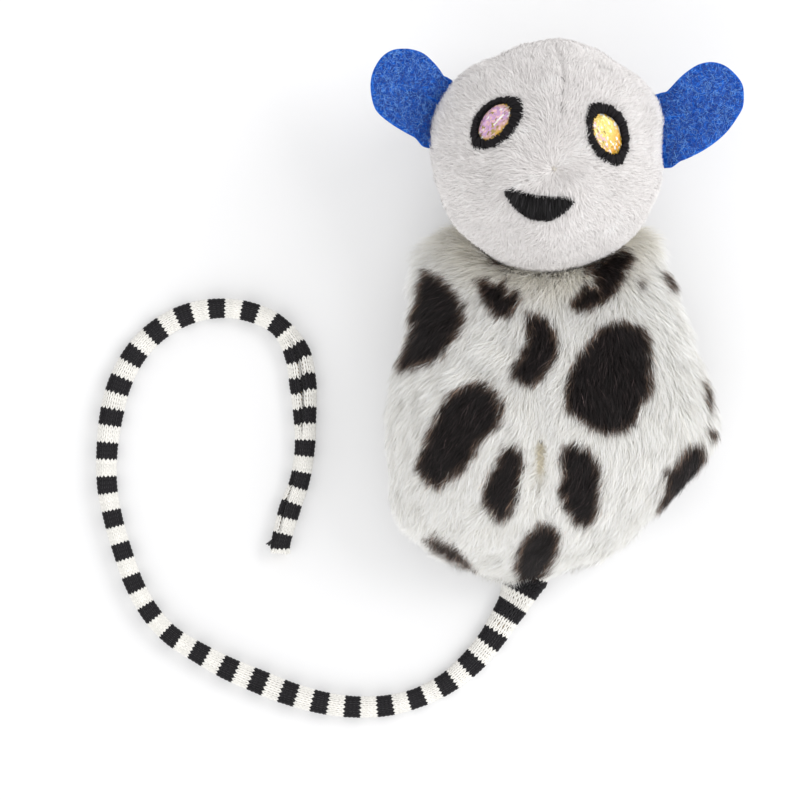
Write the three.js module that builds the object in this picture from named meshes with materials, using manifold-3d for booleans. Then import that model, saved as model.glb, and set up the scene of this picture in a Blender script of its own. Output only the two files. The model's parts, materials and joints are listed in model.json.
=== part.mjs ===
// Small stuffed cat toy lying on its back with its face up: plush head, felt ears, fur body, knitted tail.
// Millimetres. +Z is up off the surface, +Y runs from the body to the top of the head.
// Left is towards -X. The origin is the centre of the flat back, on the surface.

import * as THREE from 'three';
import { mergeVertices } from 'three/addons/utils/BufferGeometryUtils.js';
import Module from 'manifold-3d';

// Clearances and overruns
const seamGap = 0.3;
const cutOverrun = 6;
const floorCut = 0.5;

// Steps around and along the stuffed forms, the stuffing in them and the balls that cut them
const formAround = 28;
const formAlong = 16;
const fillAround = 24;
const fillAlong = 12;
const ballAround = 28;
const ballAlong = 16;
const smallBallShare = 0.5;
const pouchAround = 16;
const pouchAlong = 10;

// Sides of round sections and steps of the finer pieces
const threadSegments = 3;
const stepsPerStitch = 3;
const neckRingSides = 6;
const neckRingSteps = 28;
const pocketSides = 24;
const flareSides = 16;
const flareSteps = 4;
const outlineSegments = 6;
const earSegments = 16;
const earStepsOut = 10;
const earStepsAcross = 9;

// Body bag
const bodyLength = 80.2;
const bodyWidth = 72;
const bodyHeight = 38;
const bodySeamHeight = 14;
const bodyMiddleY = 1.9;
const coatThickness = 3;

// Belly parting, cut into the pile, and its closing stitch
const partingX = -3.5;
const partingY = -10.7;
const partingLength = 6.4;
const partingWidth = 2.6;
const partingDepthShare = 0.66;
const closingThreadRadius = 0.3;

// Catnip pouch
const pouchLength = 26;
const pouchWidth = 18;
const pouchThickness = 9;
const pouchY = -2;
const pouchHeight = 17;
const fillingSlitWidth = 8;

// Head
const headRadius = 24.8;
const headX = -1.5;
const neckOverlap = 13.6;
const headTilt = THREE.MathUtils.degToRad(-6);
const plushThickness = 2.2;
const muzzleRise = 3.2;
const muzzleSpread = THREE.MathUtils.degToRad(38);
const muzzleX = -0.6;
const muzzleY = -11.5;
const bridgeDip = 1;
const bridgeSpread = THREE.MathUtils.degToRad(13);
const bridgeX = 1;
const bridgeY = -4.1;
const foreheadSeamX = 0.95;
const foreheadSeamTilt = THREE.MathUtils.degToRad(5);
const tackStitchLength = 1.8;
const seamThreadRadius = 0.3;

// Neck thread
const neckTilt = THREE.MathUtils.degToRad(25);
const neckThreadRing = 9;
const neckThreadRadius = 0.6;

// Embroidery, film and the beds pressed into the plush
const bedDepthShare = 0.6;
const embroideryThickness = 1;
const filmThickness = 0.4;
const eyeMiddleX = -0.55;
const eyeX = 12.05;
const eyeY = 4.8;
const eyeLean = THREE.MathUtils.degToRad(35);
const eyeLength = 14;
const eyeWidth = 9.4;
const filmLength = 9;
const filmWidth = 6.2;
const noseX = -1.7;
const noseY = -11;
const noseWidth = 13.9;
const noseHeight = 6;

// Felt ears
const earThickness = 1.2;
const earGap = 0.55;
const earCup = 2.4;
const ears = [
  { name: 'ear_left', side: -1, around: 15.4, turn: 2.9, tilt: 14, length: 16.8 },
  { name: 'ear_right', side: 1, around: 18.1, turn: -4.7, tilt: 4, length: 18.7 },
];

// Tail
const tailRadius = 2.3;
const tailRootAside = 3.8;
const tailRootInset = 0.7;
const tailRootWidth = 8.8;
const tailRootThickness = 3.4;
const tailRootLength = 9.5;
const tailHeading = THREE.MathUtils.degToRad(-123.9);
const tailBallRadius = 2.4;
const tailSides = 8;
const tailSteps = 64;

// Route of the free tail beyond its root, as it lies on the surface
const tailRoute = [
  [-13.0, -51.1], [-17.4, -56.4], [-22.9, -61.0], [-29.5, -64.3], [-36.5, -66.0],
  [-43.8, -66.2], [-50.8, -65.2], [-57.8, -63.2], [-64.4, -60.6], [-71.2, -57.7], [-77.3, -54.4],
  [-83.5, -50.5], [-88.1, -45.4], [-91.6, -39.1], [-94.2, -31.8], [-96.2, -24.8], [-97.5, -17.5],
  [-97.5, -9.9], [-96.6, -2.6], [-94.9, 4.2], [-91.6, 10.8], [-86.8, 16.0], [-80.4, 19.7],
  [-73.2, 21.2], [-66.1, 20.4], [-59.8, 17.3], [-55.8, 11.4], [-54.5, 4.4], [-54.1, -2.4],
  [-54.1, -9.4], [-55.2, -16.5], [-57.4, -22.8], [-59.3, -29.8], [-59.5, -32.3],
];

// Shares that shape the body from its tail end at -1 to its neck end at 1
const stationShares = [-1, -0.9, -0.8, -0.64, -0.4, -0.24, 0, 0.29, 0.58, 0.76, 0.9, 1];
const widthShares = [0.72, 1.02, 1.03, 1.03, 1.02, 1.026, 0.98, 0.925, 0.99, 1.16, 1.45, 1.6];
const centreShares = [
  -0.22, -0.18, -0.183, -0.164, -0.061, -0.017, -0.02, -0.03, -0.055, -0.083, -0.05, -0.05,
];
const seamShares = [0.57, 0.63, 0.68, 0.79, 0.93, 0.97, 1, 0.97, 0.92, 0.86, 0.835, 0.82];
const frontShares = [0.62, 0.85, 1, 1.03, 1.045, 1.045, 1, 0.91, 0.805, 0.705, 0.6, 0.54];
const backShares = [0.95, 1.13, 1.11, 1.035, 1.02, 1.01, 1, 1.01, 1.12, 1.19, 1.06, 0.85];
const frontRoundnessShare = 0.95;
const backRoundnessShare = 0.77;

// Shares of the head's radius by which its outline leaves a ball, at even steps round from its right side
const headOutlineShares = [
  -0.004, -0.02, 0.02, 0.03, -0.01, 0.02, 0.008, -0.03, -0.045, -0.01, 0.015, 0,
  0.005, -0.005, -0.009, -0.004, -0.01, 0, 0, -0.008, -0.012, 0, 0, -0.001,
];

// Shares that shape the eye's outline, from its upper point down one side
const eyeSideShares = [[1.25, 0.75], [1.42, -0.45]];

// Shares of each ear's length that give its crease and its outline, from the top of the root round the tip
const earCreaseShare = 0.165;
const earOutlineShares = {
  ear_left: [
    [0, 0.39], [0.13, 0.49], [0.28, 0.58], [0.44, 0.65], [0.57, 0.67], [0.71, 0.65], [0.86, 0.58],
    [0.96, 0.45], [1, 0.29], [1, 0.14], [0.96, 0], [0.88, -0.15], [0.78, -0.25], [0.62, -0.32],
    [0.43, -0.37], [0.24, -0.4], [0, -0.42],
  ],
  ear_right: [
    [0, 0.37], [0.14, 0.47], [0.32, 0.61], [0.48, 0.7], [0.6, 0.73], [0.72, 0.72], [0.84, 0.66],
    [0.94, 0.55], [1, 0.43], [1, 0.3], [0.97, 0.17], [0.9, 0.07], [0.77, -0.07], [0.64, -0.17],
    [0.5, -0.25], [0.36, -0.31], [0.19, -0.36], [0, -0.37],
  ],
};

// Shares of the nose's width and height that shape its outline
const noseTopShares = [[-0.36, 0.5], [-0.1, 0.4], [0.2, 0.38], [0.36, 0.42]];
const noseSideShares = [[0.38, -0.1], [0.2, -0.42], [0, -0.5], [-0.18, -0.42], [-0.38, -0.1]];
const noseTipShares = [0.5, 0.33];

// Shares of the parting's width and length at which the closing stitch turns
const closingShares = [
  [0.25, 0.42], [-0.25, 0.26], [0.25, 0.1], [-0.25, -0.06], [0.25, -0.22], [-0.25, -0.38],
];

// Angles above the line of sight at which the forehead stitches lie, in degrees
const foreheadStitchAngles = [72, 64, 54, 44, 34, 24, 16];

const coat = new THREE.MeshStandardMaterial({ color: '#e6e3dc', roughness: 0.95, metalness: 0 });
const plush = new THREE.MeshStandardMaterial({ color: '#dcdbd9', roughness: 0.9, metalness: 0 });
const felt = new THREE.MeshStandardMaterial({ color: '#2d60b4', roughness: 1, metalness: 0 });
const knit = new THREE.MeshStandardMaterial({ color: '#8d8b86', roughness: 0.9, metalness: 0 });
const blackThread = new THREE.MeshStandardMaterial({ color: '#19191b', roughness: 0.6, metalness: 0 });
const paleThread = new THREE.MeshStandardMaterial({ color: '#cfc9bb', roughness: 0.8, metalness: 0 });
const film = new THREE.MeshStandardMaterial({ color: '#e6c9a0', roughness: 0.25, metalness: 0.3 });
const fibre = new THREE.MeshStandardMaterial({ color: '#f2f1ee', roughness: 1, metalness: 0 });
const pouchCloth = new THREE.MeshStandardMaterial({ color: '#b9b48e', roughness: 0.95, metalness: 0 });

const wasm = await Module();
wasm.setup();

// Solid from a closed three.js geometry
function solid(geometry) {
  const bare = geometry.clone();
  bare.deleteAttribute('normal');
  bare.deleteAttribute('uv');
  const merged = mergeVertices(bare);
  return new wasm.Manifold(new wasm.Mesh({
    numProp: 3,
    vertProperties: Float32Array.from(merged.attributes.position.array),
    triVerts: Uint32Array.from(merged.index.array),
  }));
}

// Geometry of a finished solid
function geometryOf(body) {
  const { vertProperties, triVerts } = body.getMesh();
  const geometry = new THREE.BufferGeometry();
  geometry.setAttribute('position', new THREE.BufferAttribute(vertProperties, 3));
  geometry.setIndex(new THREE.BufferAttribute(triVerts, 1));
  geometry.computeVertexNormals();
  return geometry;
}

// Named mesh of a finished solid
function piece(name, body, material) {
  const mesh = new THREE.Mesh(geometryOf(body), material);
  mesh.name = name;
  return mesh;
}

// Closed form whose points are those of a unit ball, moved by a function
function form(pointOf, aroundSteps, alongSteps) {
  const sphere = new THREE.SphereGeometry(1, aroundSteps, alongSteps);
  sphere.deleteAttribute('normal');
  sphere.deleteAttribute('uv');
  const geometry = mergeVertices(sphere);
  const places = geometry.attributes.position;
  const unit = new THREE.Vector3();
  for (let i = 0; i < places.count; i += 1) {
    unit.fromBufferAttribute(places, i).normalize();
    places.setXYZ(i, ...pointOf(unit).toArray());
  }
  geometry.computeVertexNormals();
  return geometry;
}

// Copy of a form, drawn in by a distance along its normals
function drawnIn(geometry, distance) {
  const copy = geometry.clone();
  const places = copy.attributes.position;
  const normals = geometry.attributes.normal;
  const point = new THREE.Vector3();
  const normal = new THREE.Vector3();
  for (let i = 0; i < places.count; i += 1) {
    normal.fromBufferAttribute(normals, i);
    point.fromBufferAttribute(places, i).addScaledVector(normal, -distance);
    places.setXYZ(i, ...point.toArray());
  }
  return copy;
}

// Ball about a point
function ball(radius, centre, share = 1) {
  const sphere = new THREE.SphereGeometry(radius, ballAround * share, ballAlong * share);
  return solid(sphere.translate(...centre.toArray()));
}

// Box from its size and its centre
function block(size, centre) {
  return solid(new THREE.BoxGeometry(...size.toArray()).translate(...centre.toArray()));
}

// Thread along a list of points
function thread(points, radius) {
  const section = new THREE.Shape().absarc(0, 0, radius, 0, 2 * Math.PI);
  const extrudePath = new THREE.CatmullRomCurve3(points);
  const steps = stepsPerStitch * (points.length - 1);
  return solid(new THREE.ExtrudeGeometry(section, { steps, curveSegments: threadSegments, extrudePath }));
}

// Value along the body by a row of shares
function profile(shares) {
  const curve = new THREE.CubicInterpolant(stationShares, shares, 1, [0]);
  return (along) => curve.evaluate(along)[0];
}

const widthShareAt = profile(widthShares);
const centreShareAt = profile(centreShares);
const seamShareAt = profile(seamShares);
const frontShareAt = profile(frontShares);
const backShareAt = profile(backShares);

// Point on the body's surface for a direction from its middle
function bodyPoint(unit) {
  const front = unit.z > 0;
  const ring = Math.hypot(unit.x, unit.z) || 1;
  const roundness = front ? frontRoundnessShare : backRoundnessShare;
  const across = Math.sign(unit.x) * ring * Math.pow(Math.abs(unit.x) / ring, roundness);
  const rise = Math.sign(unit.z) * ring * Math.pow(Math.abs(unit.z) / ring, roundness);
  const reach = front ? bodyHeight - bodySeamHeight : bodySeamHeight + floorCut;
  const share = front ? frontShareAt(unit.y) : backShareAt(unit.y);
  return new THREE.Vector3(
    bodyWidth / 2 * (centreShareAt(unit.y) + widthShareAt(unit.y) * across),
    bodyMiddleY + unit.y * bodyLength / 2,
    bodySeamHeight * seamShareAt(unit.y) + reach * share * rise,
  );
}

// Place on the belly over a point of the plan
function bellyPlace(x, y) {
  const along = (y - bodyMiddleY) / (bodyLength / 2);
  const across = (x / (bodyWidth / 2) - centreShareAt(along)) / widthShareAt(along);
  return bodyPoint(new THREE.Vector3(across, along, Math.sqrt(1 - along * along - across * across)));
}

// Prism over the body's length, above the side seam with side 1 or below it with side -1
function seamSide(side) {
  const outline = new THREE.Shape();
  const reach = bodyLength / 2 + cutOverrun;
  const far = side * (bodyHeight + cutOverrun);
  const edge = side * seamGap / 2;
  outline.moveTo(bodyMiddleY - reach, far);
  outline.lineTo(bodyMiddleY - reach, bodySeamHeight * seamShareAt(-1) + edge);
  for (const along of stationShares) {
    outline.lineTo(bodyMiddleY + along * bodyLength / 2, bodySeamHeight * seamShareAt(along) + edge);
  }
  outline.lineTo(bodyMiddleY + reach, bodySeamHeight * seamShareAt(1) + edge);
  outline.lineTo(bodyMiddleY + reach, far);
  const prism = new THREE.ExtrudeGeometry(outline, { depth: 2 * bodyWidth, bevelEnabled: false });
  const alongX = new THREE.Matrix4().makeBasis(
    new THREE.Vector3(0, 1, 0),
    new THREE.Vector3(0, 0, 1),
    new THREE.Vector3(1, 0, 0),
  );
  return solid(prism.applyMatrix4(alongX).translate(-bodyWidth, 0, 0));
}

// Head radius in a direction, for a distance outside the plush's surface
function headReach(unit, outside) {
  const outline = headOutlineShareAt(Math.atan2(unit.y, unit.x)) * (1 - unit.z * unit.z);
  const muzzle = muzzleRise * bumpAt(unit, muzzleX, muzzleY, muzzleSpread);
  const bridge = bridgeDip * bumpAt(unit, bridgeX, bridgeY, bridgeSpread);
  return headRadius * (1 + outline) + muzzle - bridge + outside;
}

// Share by which the head's outline leaves a ball at an angle round the face, read smoothly between steps
function headOutlineShareAt(angle) {
  const count = headOutlineShares.length;
  const place = THREE.MathUtils.euclideanModulo(angle / (2 * Math.PI), 1) * count;
  const first = Math.floor(place);
  const along = place - first;
  const steps = [-1, 0, 1, 2].map((step) => (first + step + count) % count);
  const [before, from, to, after] = steps.map((step) => headOutlineShares[step]);
  const bend = 2 * before - 5 * from + 4 * to - after;
  const twist = 3 * from - before - 3 * to + after;
  return from + along * (to - before + along * (bend + along * twist)) / 2;
}

// Direction from the head's centre to a place on the face
function faceDirection(x, y) {
  return new THREE.Vector3(x, y, Math.sqrt(headRadius * headRadius - x * x - y * y)).normalize();
}

// Round bump of height 1 over a place on the face
function bumpAt(unit, x, y, spread) {
  const angle = unit.angleTo(faceDirection(x, y)) / spread;
  return angle < 1 ? Math.pow(1 - angle * angle, 2) : 0;
}

// Head form, drawn out by a distance
function headForm(outside, aroundSteps, alongSteps) {
  return solid(form((unit) => headPlace(unit, outside), aroundSteps, alongSteps));
}

// Place on the head's surface in a direction, a distance outside it
function headPlace(unit, outside) {
  return unit.clone().multiplyScalar(headReach(unit, outside));
}

// Matrix that stands an outline over a place on the face, turned about its own middle
function faceFrame(x, y, turn) {
  const out = faceDirection(x, y);
  const up = new THREE.Vector3(0, 1, 0).projectOnPlane(out).normalize();
  const across = new THREE.Vector3().crossVectors(up, out);
  return new THREE.Matrix4().makeBasis(across, up, out).multiply(new THREE.Matrix4().makeRotationZ(turn));
}

// Prism of a face outline, from inside the head to outside it
function facePrism(shape, frame) {
  const options = { depth: headRadius + cutOverrun, bevelEnabled: false, curveSegments: outlineSegments };
  const prism = new THREE.ExtrudeGeometry(shape, options).translate(0, 0, headRadius / 2);
  return solid(prism.applyMatrix4(frame));
}

// Oval with a point at each end, grown all round
function eyeOutline(grown) {
  const end = eyeLength / 2 + grown;
  const side = eyeWidth / 2 + grown;
  const [[outX, outY], [backX, backY]] = eyeSideShares;
  const shape = new THREE.Shape().moveTo(0, end);
  shape.bezierCurveTo(side * outX, end * outY, side * backX, end * backY, 0, -end);
  shape.bezierCurveTo(-side * outX, -end * outY, -side * backX, -end * backY, 0, end);
  return shape;
}

// Oval of the eye's film, grown all round
function filmOutline(grown) {
  return new THREE.Shape().absellipse(0, 0, filmWidth / 2 + grown, filmLength / 2 + grown, 0, 2 * Math.PI);
}

// Outline of the nose patch, grown all round
function noseOutline(grown) {
  const width = noseWidth + 2 * grown;
  const height = noseHeight + 2 * grown;
  const pointOf = ([across, up]) => new THREE.Vector2(across * width, up * height);
  const [tipAcross, tipUp] = noseTipShares;
  return new THREE.Shape()
    .moveTo(-tipAcross * width, tipUp * height)
    .splineThru([...noseTopShares, [tipAcross, tipUp]].map(pointOf))
    .splineThru([...noseSideShares, [-tipAcross, tipUp]].map(pointOf));
}

// Layer of the head between two distances outside its surface
function headLayer(inner, outer) {
  return headForm(outer, formAround, formAlong).subtract(headForm(inner, formAround, formAlong));
}

const bedDepth = plushThickness * bedDepthShare;
const partingDepth = coatThickness * partingDepthShare;
const headY = bodyMiddleY + bodyLength / 2 + headRadius - neckOverlap;
const headCentre = new THREE.Vector3(headX, headY, headRadius - floorCut);
const neckAxis = new THREE.Vector3(0, -Math.cos(neckTilt), -Math.sin(neckTilt));
const tailHeight = Math.max(tailRadius, tailBallRadius);
const tailRootX = bodyWidth / 2 * centreShareAt(-1) + tailRootAside;
const tailRootY = bodyMiddleY - bodyLength / 2 + tailRootInset;
const tailRoot = new THREE.Vector3(tailRootX, tailRootY, tailHeight);
const tailDirection = new THREE.Vector3(Math.cos(tailHeading), Math.sin(tailHeading), 0);
const tailJoint = tailRoot.clone().addScaledVector(tailDirection, tailRootLength);

// Ring about the neck's axis, on the head's seat
function neckRing(radius) {
  const away = headRadius + seamGap + neckThreadRadius;
  const centre = Math.sqrt(away * away - neckThreadRing * neckThreadRing);
  const ring = new THREE.TorusGeometry(neckThreadRing, radius, neckRingSides, neckRingSteps);
  const turn = new THREE.Quaternion().setFromUnitVectors(new THREE.Vector3(0, 0, 1), neckAxis);
  const place = headCentre.clone().addScaledVector(neckAxis, centre);
  return solid(ring.applyQuaternion(turn).translate(...place.toArray()));
}

// Pocket under the body's end in which the tail's root turns
function tailPocket(grown) {
  const top = tailHeight + tailRootThickness / 2 + grown;
  const radius = tailRootWidth / 2 + grown;
  const pocket = new THREE.CylinderGeometry(radius, radius, top + cutOverrun, pocketSides);
  return solid(pocket.rotateX(Math.PI / 2).translate(tailRootX, tailRootY, (top - cutOverrun) / 2));
}

// Body bag, its stuffing and what lies in them
function makeBody() {
  const surface = form(bodyPoint, formAround, formAlong);
  const below = block(
    new THREE.Vector3(2 * bodyWidth, 2 * bodyLength, 2 * cutOverrun),
    new THREE.Vector3(0, 0, -cutOverrun),
  );
  const belly = bellyPlace(partingX, partingY);
  const parting = block(
    new THREE.Vector3(partingWidth, partingLength, partingDepth + cutOverrun),
    new THREE.Vector3(partingX, partingY, belly.z + (cutOverrun - partingDepth) / 2),
  );
  const seatRadius = headRadius + seamGap;
  const hollow = solid(drawnIn(surface, coatThickness))
    .subtract(ball(seatRadius + coatThickness, headCentre));
  const bag = solid(surface)
    .subtract(ball(seatRadius, headCentre))
    .subtract(below)
    .subtract(hollow)
    .subtract(neckRing(neckThreadRadius + seamGap))
    .subtract(tailPocket(seamGap))
    .subtract(parting);

  const pouchCentre = new THREE.Vector3(0, pouchY, pouchHeight);
  const pouchForm = (grown) => solid(form((unit) => new THREE.Vector3(
    unit.x * (pouchWidth / 2 + grown),
    unit.y * (pouchLength / 2 + grown),
    unit.z * (pouchThickness / 2 + grown),
  ).add(pouchCentre), pouchAround, pouchAlong));
  const slit = block(
    new THREE.Vector3(fillingSlitWidth, pouchLength / 2, pouchHeight),
    new THREE.Vector3(0, pouchY, pouchHeight / 2),
  );
  const stuffing = solid(drawnIn(form(bodyPoint, fillAround, fillAlong), coatThickness + 2 * seamGap))
    .subtract(ball(seatRadius + coatThickness + 2 * seamGap, headCentre))
    .subtract(tailPocket(2 * seamGap))
    .subtract(pouchForm(seamGap))
    .subtract(slit);

  const stitchHeight = belly.z - partingDepth + seamGap + closingThreadRadius;
  const stitches = closingShares.map(([across, along]) => new THREE.Vector3(
    partingX + across * partingWidth,
    partingY + along * partingLength,
    stitchHeight,
  ));

  const group = new THREE.Group();
  group.add(
    piece('body_front_panel', bag.intersect(seamSide(1)), coat),
    piece('body_back_panel', bag.intersect(seamSide(-1)), coat),
    piece('body_stuffing', stuffing, fibre),
    piece('catnip_pouch', pouchForm(0), pouchCloth),
    piece('belly_closing_stitch', thread(stitches, closingThreadRadius), paleThread),
  );
  return group;
}

// Head cover with its embroidery, in the head's own frame
function makeHead() {
  const floorBelow = block(
    new THREE.Vector3(4 * headRadius, 4 * headRadius, 2 * cutOverrun),
    new THREE.Vector3(0, 0, -headCentre.z - cutOverrun),
  );
  const bed = headLayer(-bedDepth, cutOverrun);
  const eyes = [-1, 1].map((side) => {
    const frame = faceFrame(eyeMiddleX + side * eyeX, eyeY, side * eyeLean);
    const hole = facePrism(filmOutline(seamGap), frame);
    return {
      name: side < 0 ? 'left' : 'right',
      bed: facePrism(eyeOutline(seamGap), frame).intersect(bed),
      ring: facePrism(eyeOutline(0), frame).subtract(hole),
      film: facePrism(filmOutline(0), frame),
    };
  });
  const noseFrame = faceFrame(noseX, noseY, 0);
  const noseBed = facePrism(noseOutline(seamGap), noseFrame).intersect(bed);

  const cover = headForm(0, formAround, formAlong)
    .subtract(headForm(-plushThickness, formAround, formAlong))
    .subtract(floorBelow)
    .subtract(eyes[0].bed)
    .subtract(eyes[1].bed)
    .subtract(noseBed);
  const reach = 2 * headRadius;
  const half = new THREE.Vector3(2 * reach, 2 * reach, reach);
  const faceSide = block(half, new THREE.Vector3(0, 0, (reach + seamGap) / 2));
  const backSide = block(half, new THREE.Vector3(0, 0, -(reach + seamGap) / 2));
  const cheek = (side) => {
    const box = new THREE.BoxGeometry(reach, 2 * reach, 2 * reach);
    box.translate(side * (reach + seamGap) / 2, 0, 0);
    return solid(box.rotateZ(foreheadSeamTilt).translate(foreheadSeamX, 0, 0));
  };
  const face = cover.intersect(faceSide);

  const seamDirections = foreheadStitchAngles.map((degrees) => {
    const rise = THREE.MathUtils.degToRad(degrees);
    const across = foreheadSeamX / headRadius - Math.sin(foreheadSeamTilt) * Math.sin(rise);
    return new THREE.Vector3(across, Math.sin(rise), Math.cos(rise)).normalize();
  });
  const seamStitches = seamDirections.map((unit) => headPlace(unit, seamGap + seamThreadRadius));
  const tackStitches = [-1, 0, 1].map((step) => {
    const unit = faceDirection(bridgeX, bridgeY + step * tackStitchLength / 2);
    return headPlace(unit, seamGap + seamThreadRadius);
  });

  const embroidery = headLayer(seamGap - bedDepth, seamGap - bedDepth + embroideryThickness);
  const filmLayer = headLayer(seamGap - bedDepth, seamGap - bedDepth + filmThickness);
  const stuffing = headForm(-plushThickness - 2 * seamGap, fillAround, fillAlong).subtract(floorBelow);

  const group = new THREE.Group();
  group.add(
    piece('face_left_panel', face.intersect(cheek(-1)), plush),
    piece('face_right_panel', face.intersect(cheek(1)), plush),
    piece('head_back_panel', cover.intersect(backSide), plush),
    piece('head_stuffing', stuffing, fibre),
    piece('forehead_stitches', thread(seamStitches, seamThreadRadius), blackThread),
    piece('bridge_tack', thread(tackStitches, seamThreadRadius), paleThread),
    piece('nose_embroidery', facePrism(noseOutline(0), noseFrame).intersect(embroidery), blackThread),
  );
  for (const eye of eyes) {
    group.add(
      piece(`eye_ring_${eye.name}`, eye.ring.intersect(embroidery), blackThread),
      piece(`eye_film_${eye.name}`, eye.film.intersect(filmLayer), film),
    );
  }
  for (const ear of ears) {
    group.add(makeEar(ear));
  }
  group.position.copy(headCentre);
  group.rotation.z = headTilt;
  return group;
}

// Felt ear with a fold at its root, seated against the side seam of the head
function makeEar({ name, side, around, turn, tilt, length }) {
  const corners = earOutlineShares[name];
  const points = corners.map(([out, up]) => new THREE.Vector2(out * length, side * up * length));
  const outline = new THREE.Shape().moveTo(points[0].x, points[0].y).splineThru(points.slice(1));
  const options = { depth: 2 * length, bevelEnabled: false, curveSegments: earSegments };
  const prism = new THREE.ExtrudeGeometry(outline, options);
  const sheet = new THREE.BoxGeometry(2 * length, 2 * length, earThickness, earStepsOut, earStepsAcross, 1);
  const places = sheet.attributes.position;
  for (let i = 0; i < places.count; i += 1) {
    const x = places.getX(i);
    const y = places.getY(i);
    const outShare = THREE.MathUtils.clamp(x / length, 0, 1);
    const swell = Math.sin(Math.PI * Math.pow(outShare, 0.7));
    const slope = Math.min(Math.abs(y - side * earCreaseShare * length) / (length / 2), 1);
    places.setZ(i, places.getZ(i) + earCup * swell * slope);
  }
  const ear = solid(prism.translate(0, 0, -length)).intersect(solid(sheet));
  const mesh = piece(name, ear, felt);

  const angle = THREE.MathUtils.degToRad(around);
  const direction = new THREE.Vector3(side * Math.cos(angle), Math.sin(angle), 0);
  mesh.position.copy(direction).multiplyScalar(headReach(direction, earGap));
  mesh.rotation.order = 'ZYX';
  mesh.rotation.z = THREE.MathUtils.degToRad(turn) + (side < 0 ? Math.PI - angle : angle);
  mesh.rotation.y = THREE.MathUtils.degToRad(-tilt);
  return mesh;
}

// Tail: flat sewn root that ends in a ball, and the free tube that swivels on it
function makeTail() {
  const flare = new THREE.CylinderGeometry(1, 1, 1, flareSides, flareSteps);
  const places = flare.attributes.position;
  for (let i = 0; i < places.count; i += 1) {
    const share = places.getY(i) + 0.5;
    const width = THREE.MathUtils.lerp(tailRootWidth / 2, tailRadius, share * share);
    const thickness = THREE.MathUtils.lerp(tailRootThickness / 2, tailRadius, share);
    places.setXYZ(i, places.getX(i) * width, share * tailRootLength, places.getZ(i) * thickness);
  }
  flare.rotateZ(tailHeading - Math.PI / 2).translate(...tailRoot.toArray());
  const sewnRadius = tailRootWidth / 2;
  const sewnEnd = new THREE.CylinderGeometry(sewnRadius, sewnRadius, tailRootThickness, pocketSides);
  const root = solid(flare)
    .add(solid(sewnEnd.rotateX(Math.PI / 2).translate(...tailRoot.toArray())))
    .add(ball(tailBallRadius, tailJoint, smallBallShare));

  const section = new THREE.Shape(
    Array.from({ length: tailSides }, (_, i) => {
      const angle = 2 * Math.PI * (i + 0.5) / tailSides;
      return new THREE.Vector2(tailRadius * Math.cos(angle), tailRadius * Math.sin(angle));
    }),
  );
  const routePlaces = tailRoute.map(([x, y]) => new THREE.Vector3(x, y, tailHeight));
  const route = new THREE.CatmullRomCurve3([tailJoint, ...routePlaces]);
  const tube = new THREE.ExtrudeGeometry(section, { steps: tailSteps, extrudePath: route });
  const free = solid(tube).subtract(ball(tailBallRadius + seamGap, tailJoint, smallBallShare));

  const group = new THREE.Group();
  group.add(
    piece('tail_root', root, knit),
    piece('tail_tube', free, knit),
  );
  return group;
}

const toy = new THREE.Group();
toy.add(
  makeBody(),
  piece('neck_thread', neckRing(neckThreadRadius), paleThread),
  makeHead(),
  makeTail(),
);

export default toy;
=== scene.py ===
"""Stuffed cat toy on its back: spotted fur body, plush head, felt ears, stitched face and knitted tail.

Everything is in metres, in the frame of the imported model: +Z up off the surface, +Y from body to head.
"""

import json
import logging
import math
from dataclasses import dataclass, field
from enum import Enum

import bpy
import numpy as np
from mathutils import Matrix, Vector
from mathutils.kdtree import KDTree


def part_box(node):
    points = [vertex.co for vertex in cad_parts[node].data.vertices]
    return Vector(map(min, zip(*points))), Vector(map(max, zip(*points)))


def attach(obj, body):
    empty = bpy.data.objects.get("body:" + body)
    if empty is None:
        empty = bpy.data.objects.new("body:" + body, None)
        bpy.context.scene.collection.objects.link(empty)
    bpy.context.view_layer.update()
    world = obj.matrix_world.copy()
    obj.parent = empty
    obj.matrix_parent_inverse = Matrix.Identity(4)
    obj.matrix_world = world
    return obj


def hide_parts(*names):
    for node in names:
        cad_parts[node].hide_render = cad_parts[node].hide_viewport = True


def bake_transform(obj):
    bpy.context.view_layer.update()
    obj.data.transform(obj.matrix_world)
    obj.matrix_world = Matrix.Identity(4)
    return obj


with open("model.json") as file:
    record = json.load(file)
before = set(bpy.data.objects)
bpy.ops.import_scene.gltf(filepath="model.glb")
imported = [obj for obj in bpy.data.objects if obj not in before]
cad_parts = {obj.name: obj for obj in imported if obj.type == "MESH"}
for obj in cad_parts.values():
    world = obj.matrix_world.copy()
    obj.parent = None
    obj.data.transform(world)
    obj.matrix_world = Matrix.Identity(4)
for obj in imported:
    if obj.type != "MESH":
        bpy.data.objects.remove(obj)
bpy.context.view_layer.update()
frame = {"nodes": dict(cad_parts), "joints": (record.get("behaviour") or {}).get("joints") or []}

LOG = logging.getLogger("cat_toy")
MM = 0.001
UP = np.array([0.0, 0.0, 1.0])
Array = np.ndarray
Pair = tuple[float, float]
Triple = tuple[float, float, float]
Socket = bpy.types.NodeSocket


def srgb(red: float, green: float, blue: float) -> Triple:
    """Turn a colour in display values of 0 to 255 into a linear one."""
    shares = (value / 255 for value in (red, green, blue))
    return tuple(s / 12.92 if s <= 0.04045 else ((s + 0.055) / 1.055) ** 2.4 for s in shares)


def unit(vectors: Array) -> Array:
    """Return vectors scaled to length 1 along their last axis."""
    return vectors / np.maximum(np.linalg.norm(vectors, axis=-1, keepdims=True), 1e-12)


def dot(first: Array, second: Array) -> Array:
    """Return the dot products along the last axis, which is kept."""
    return (first * second).sum(axis=-1, keepdims=True)


def smooth_step(low: float, high: float, values: Array) -> Array:
    """Return shares that rise smoothly from 0 where values are low to 1 where they are high."""
    share = np.clip((values - low) / (high - low), 0, 1)
    return share * share * (3 - 2 * share)


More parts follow.
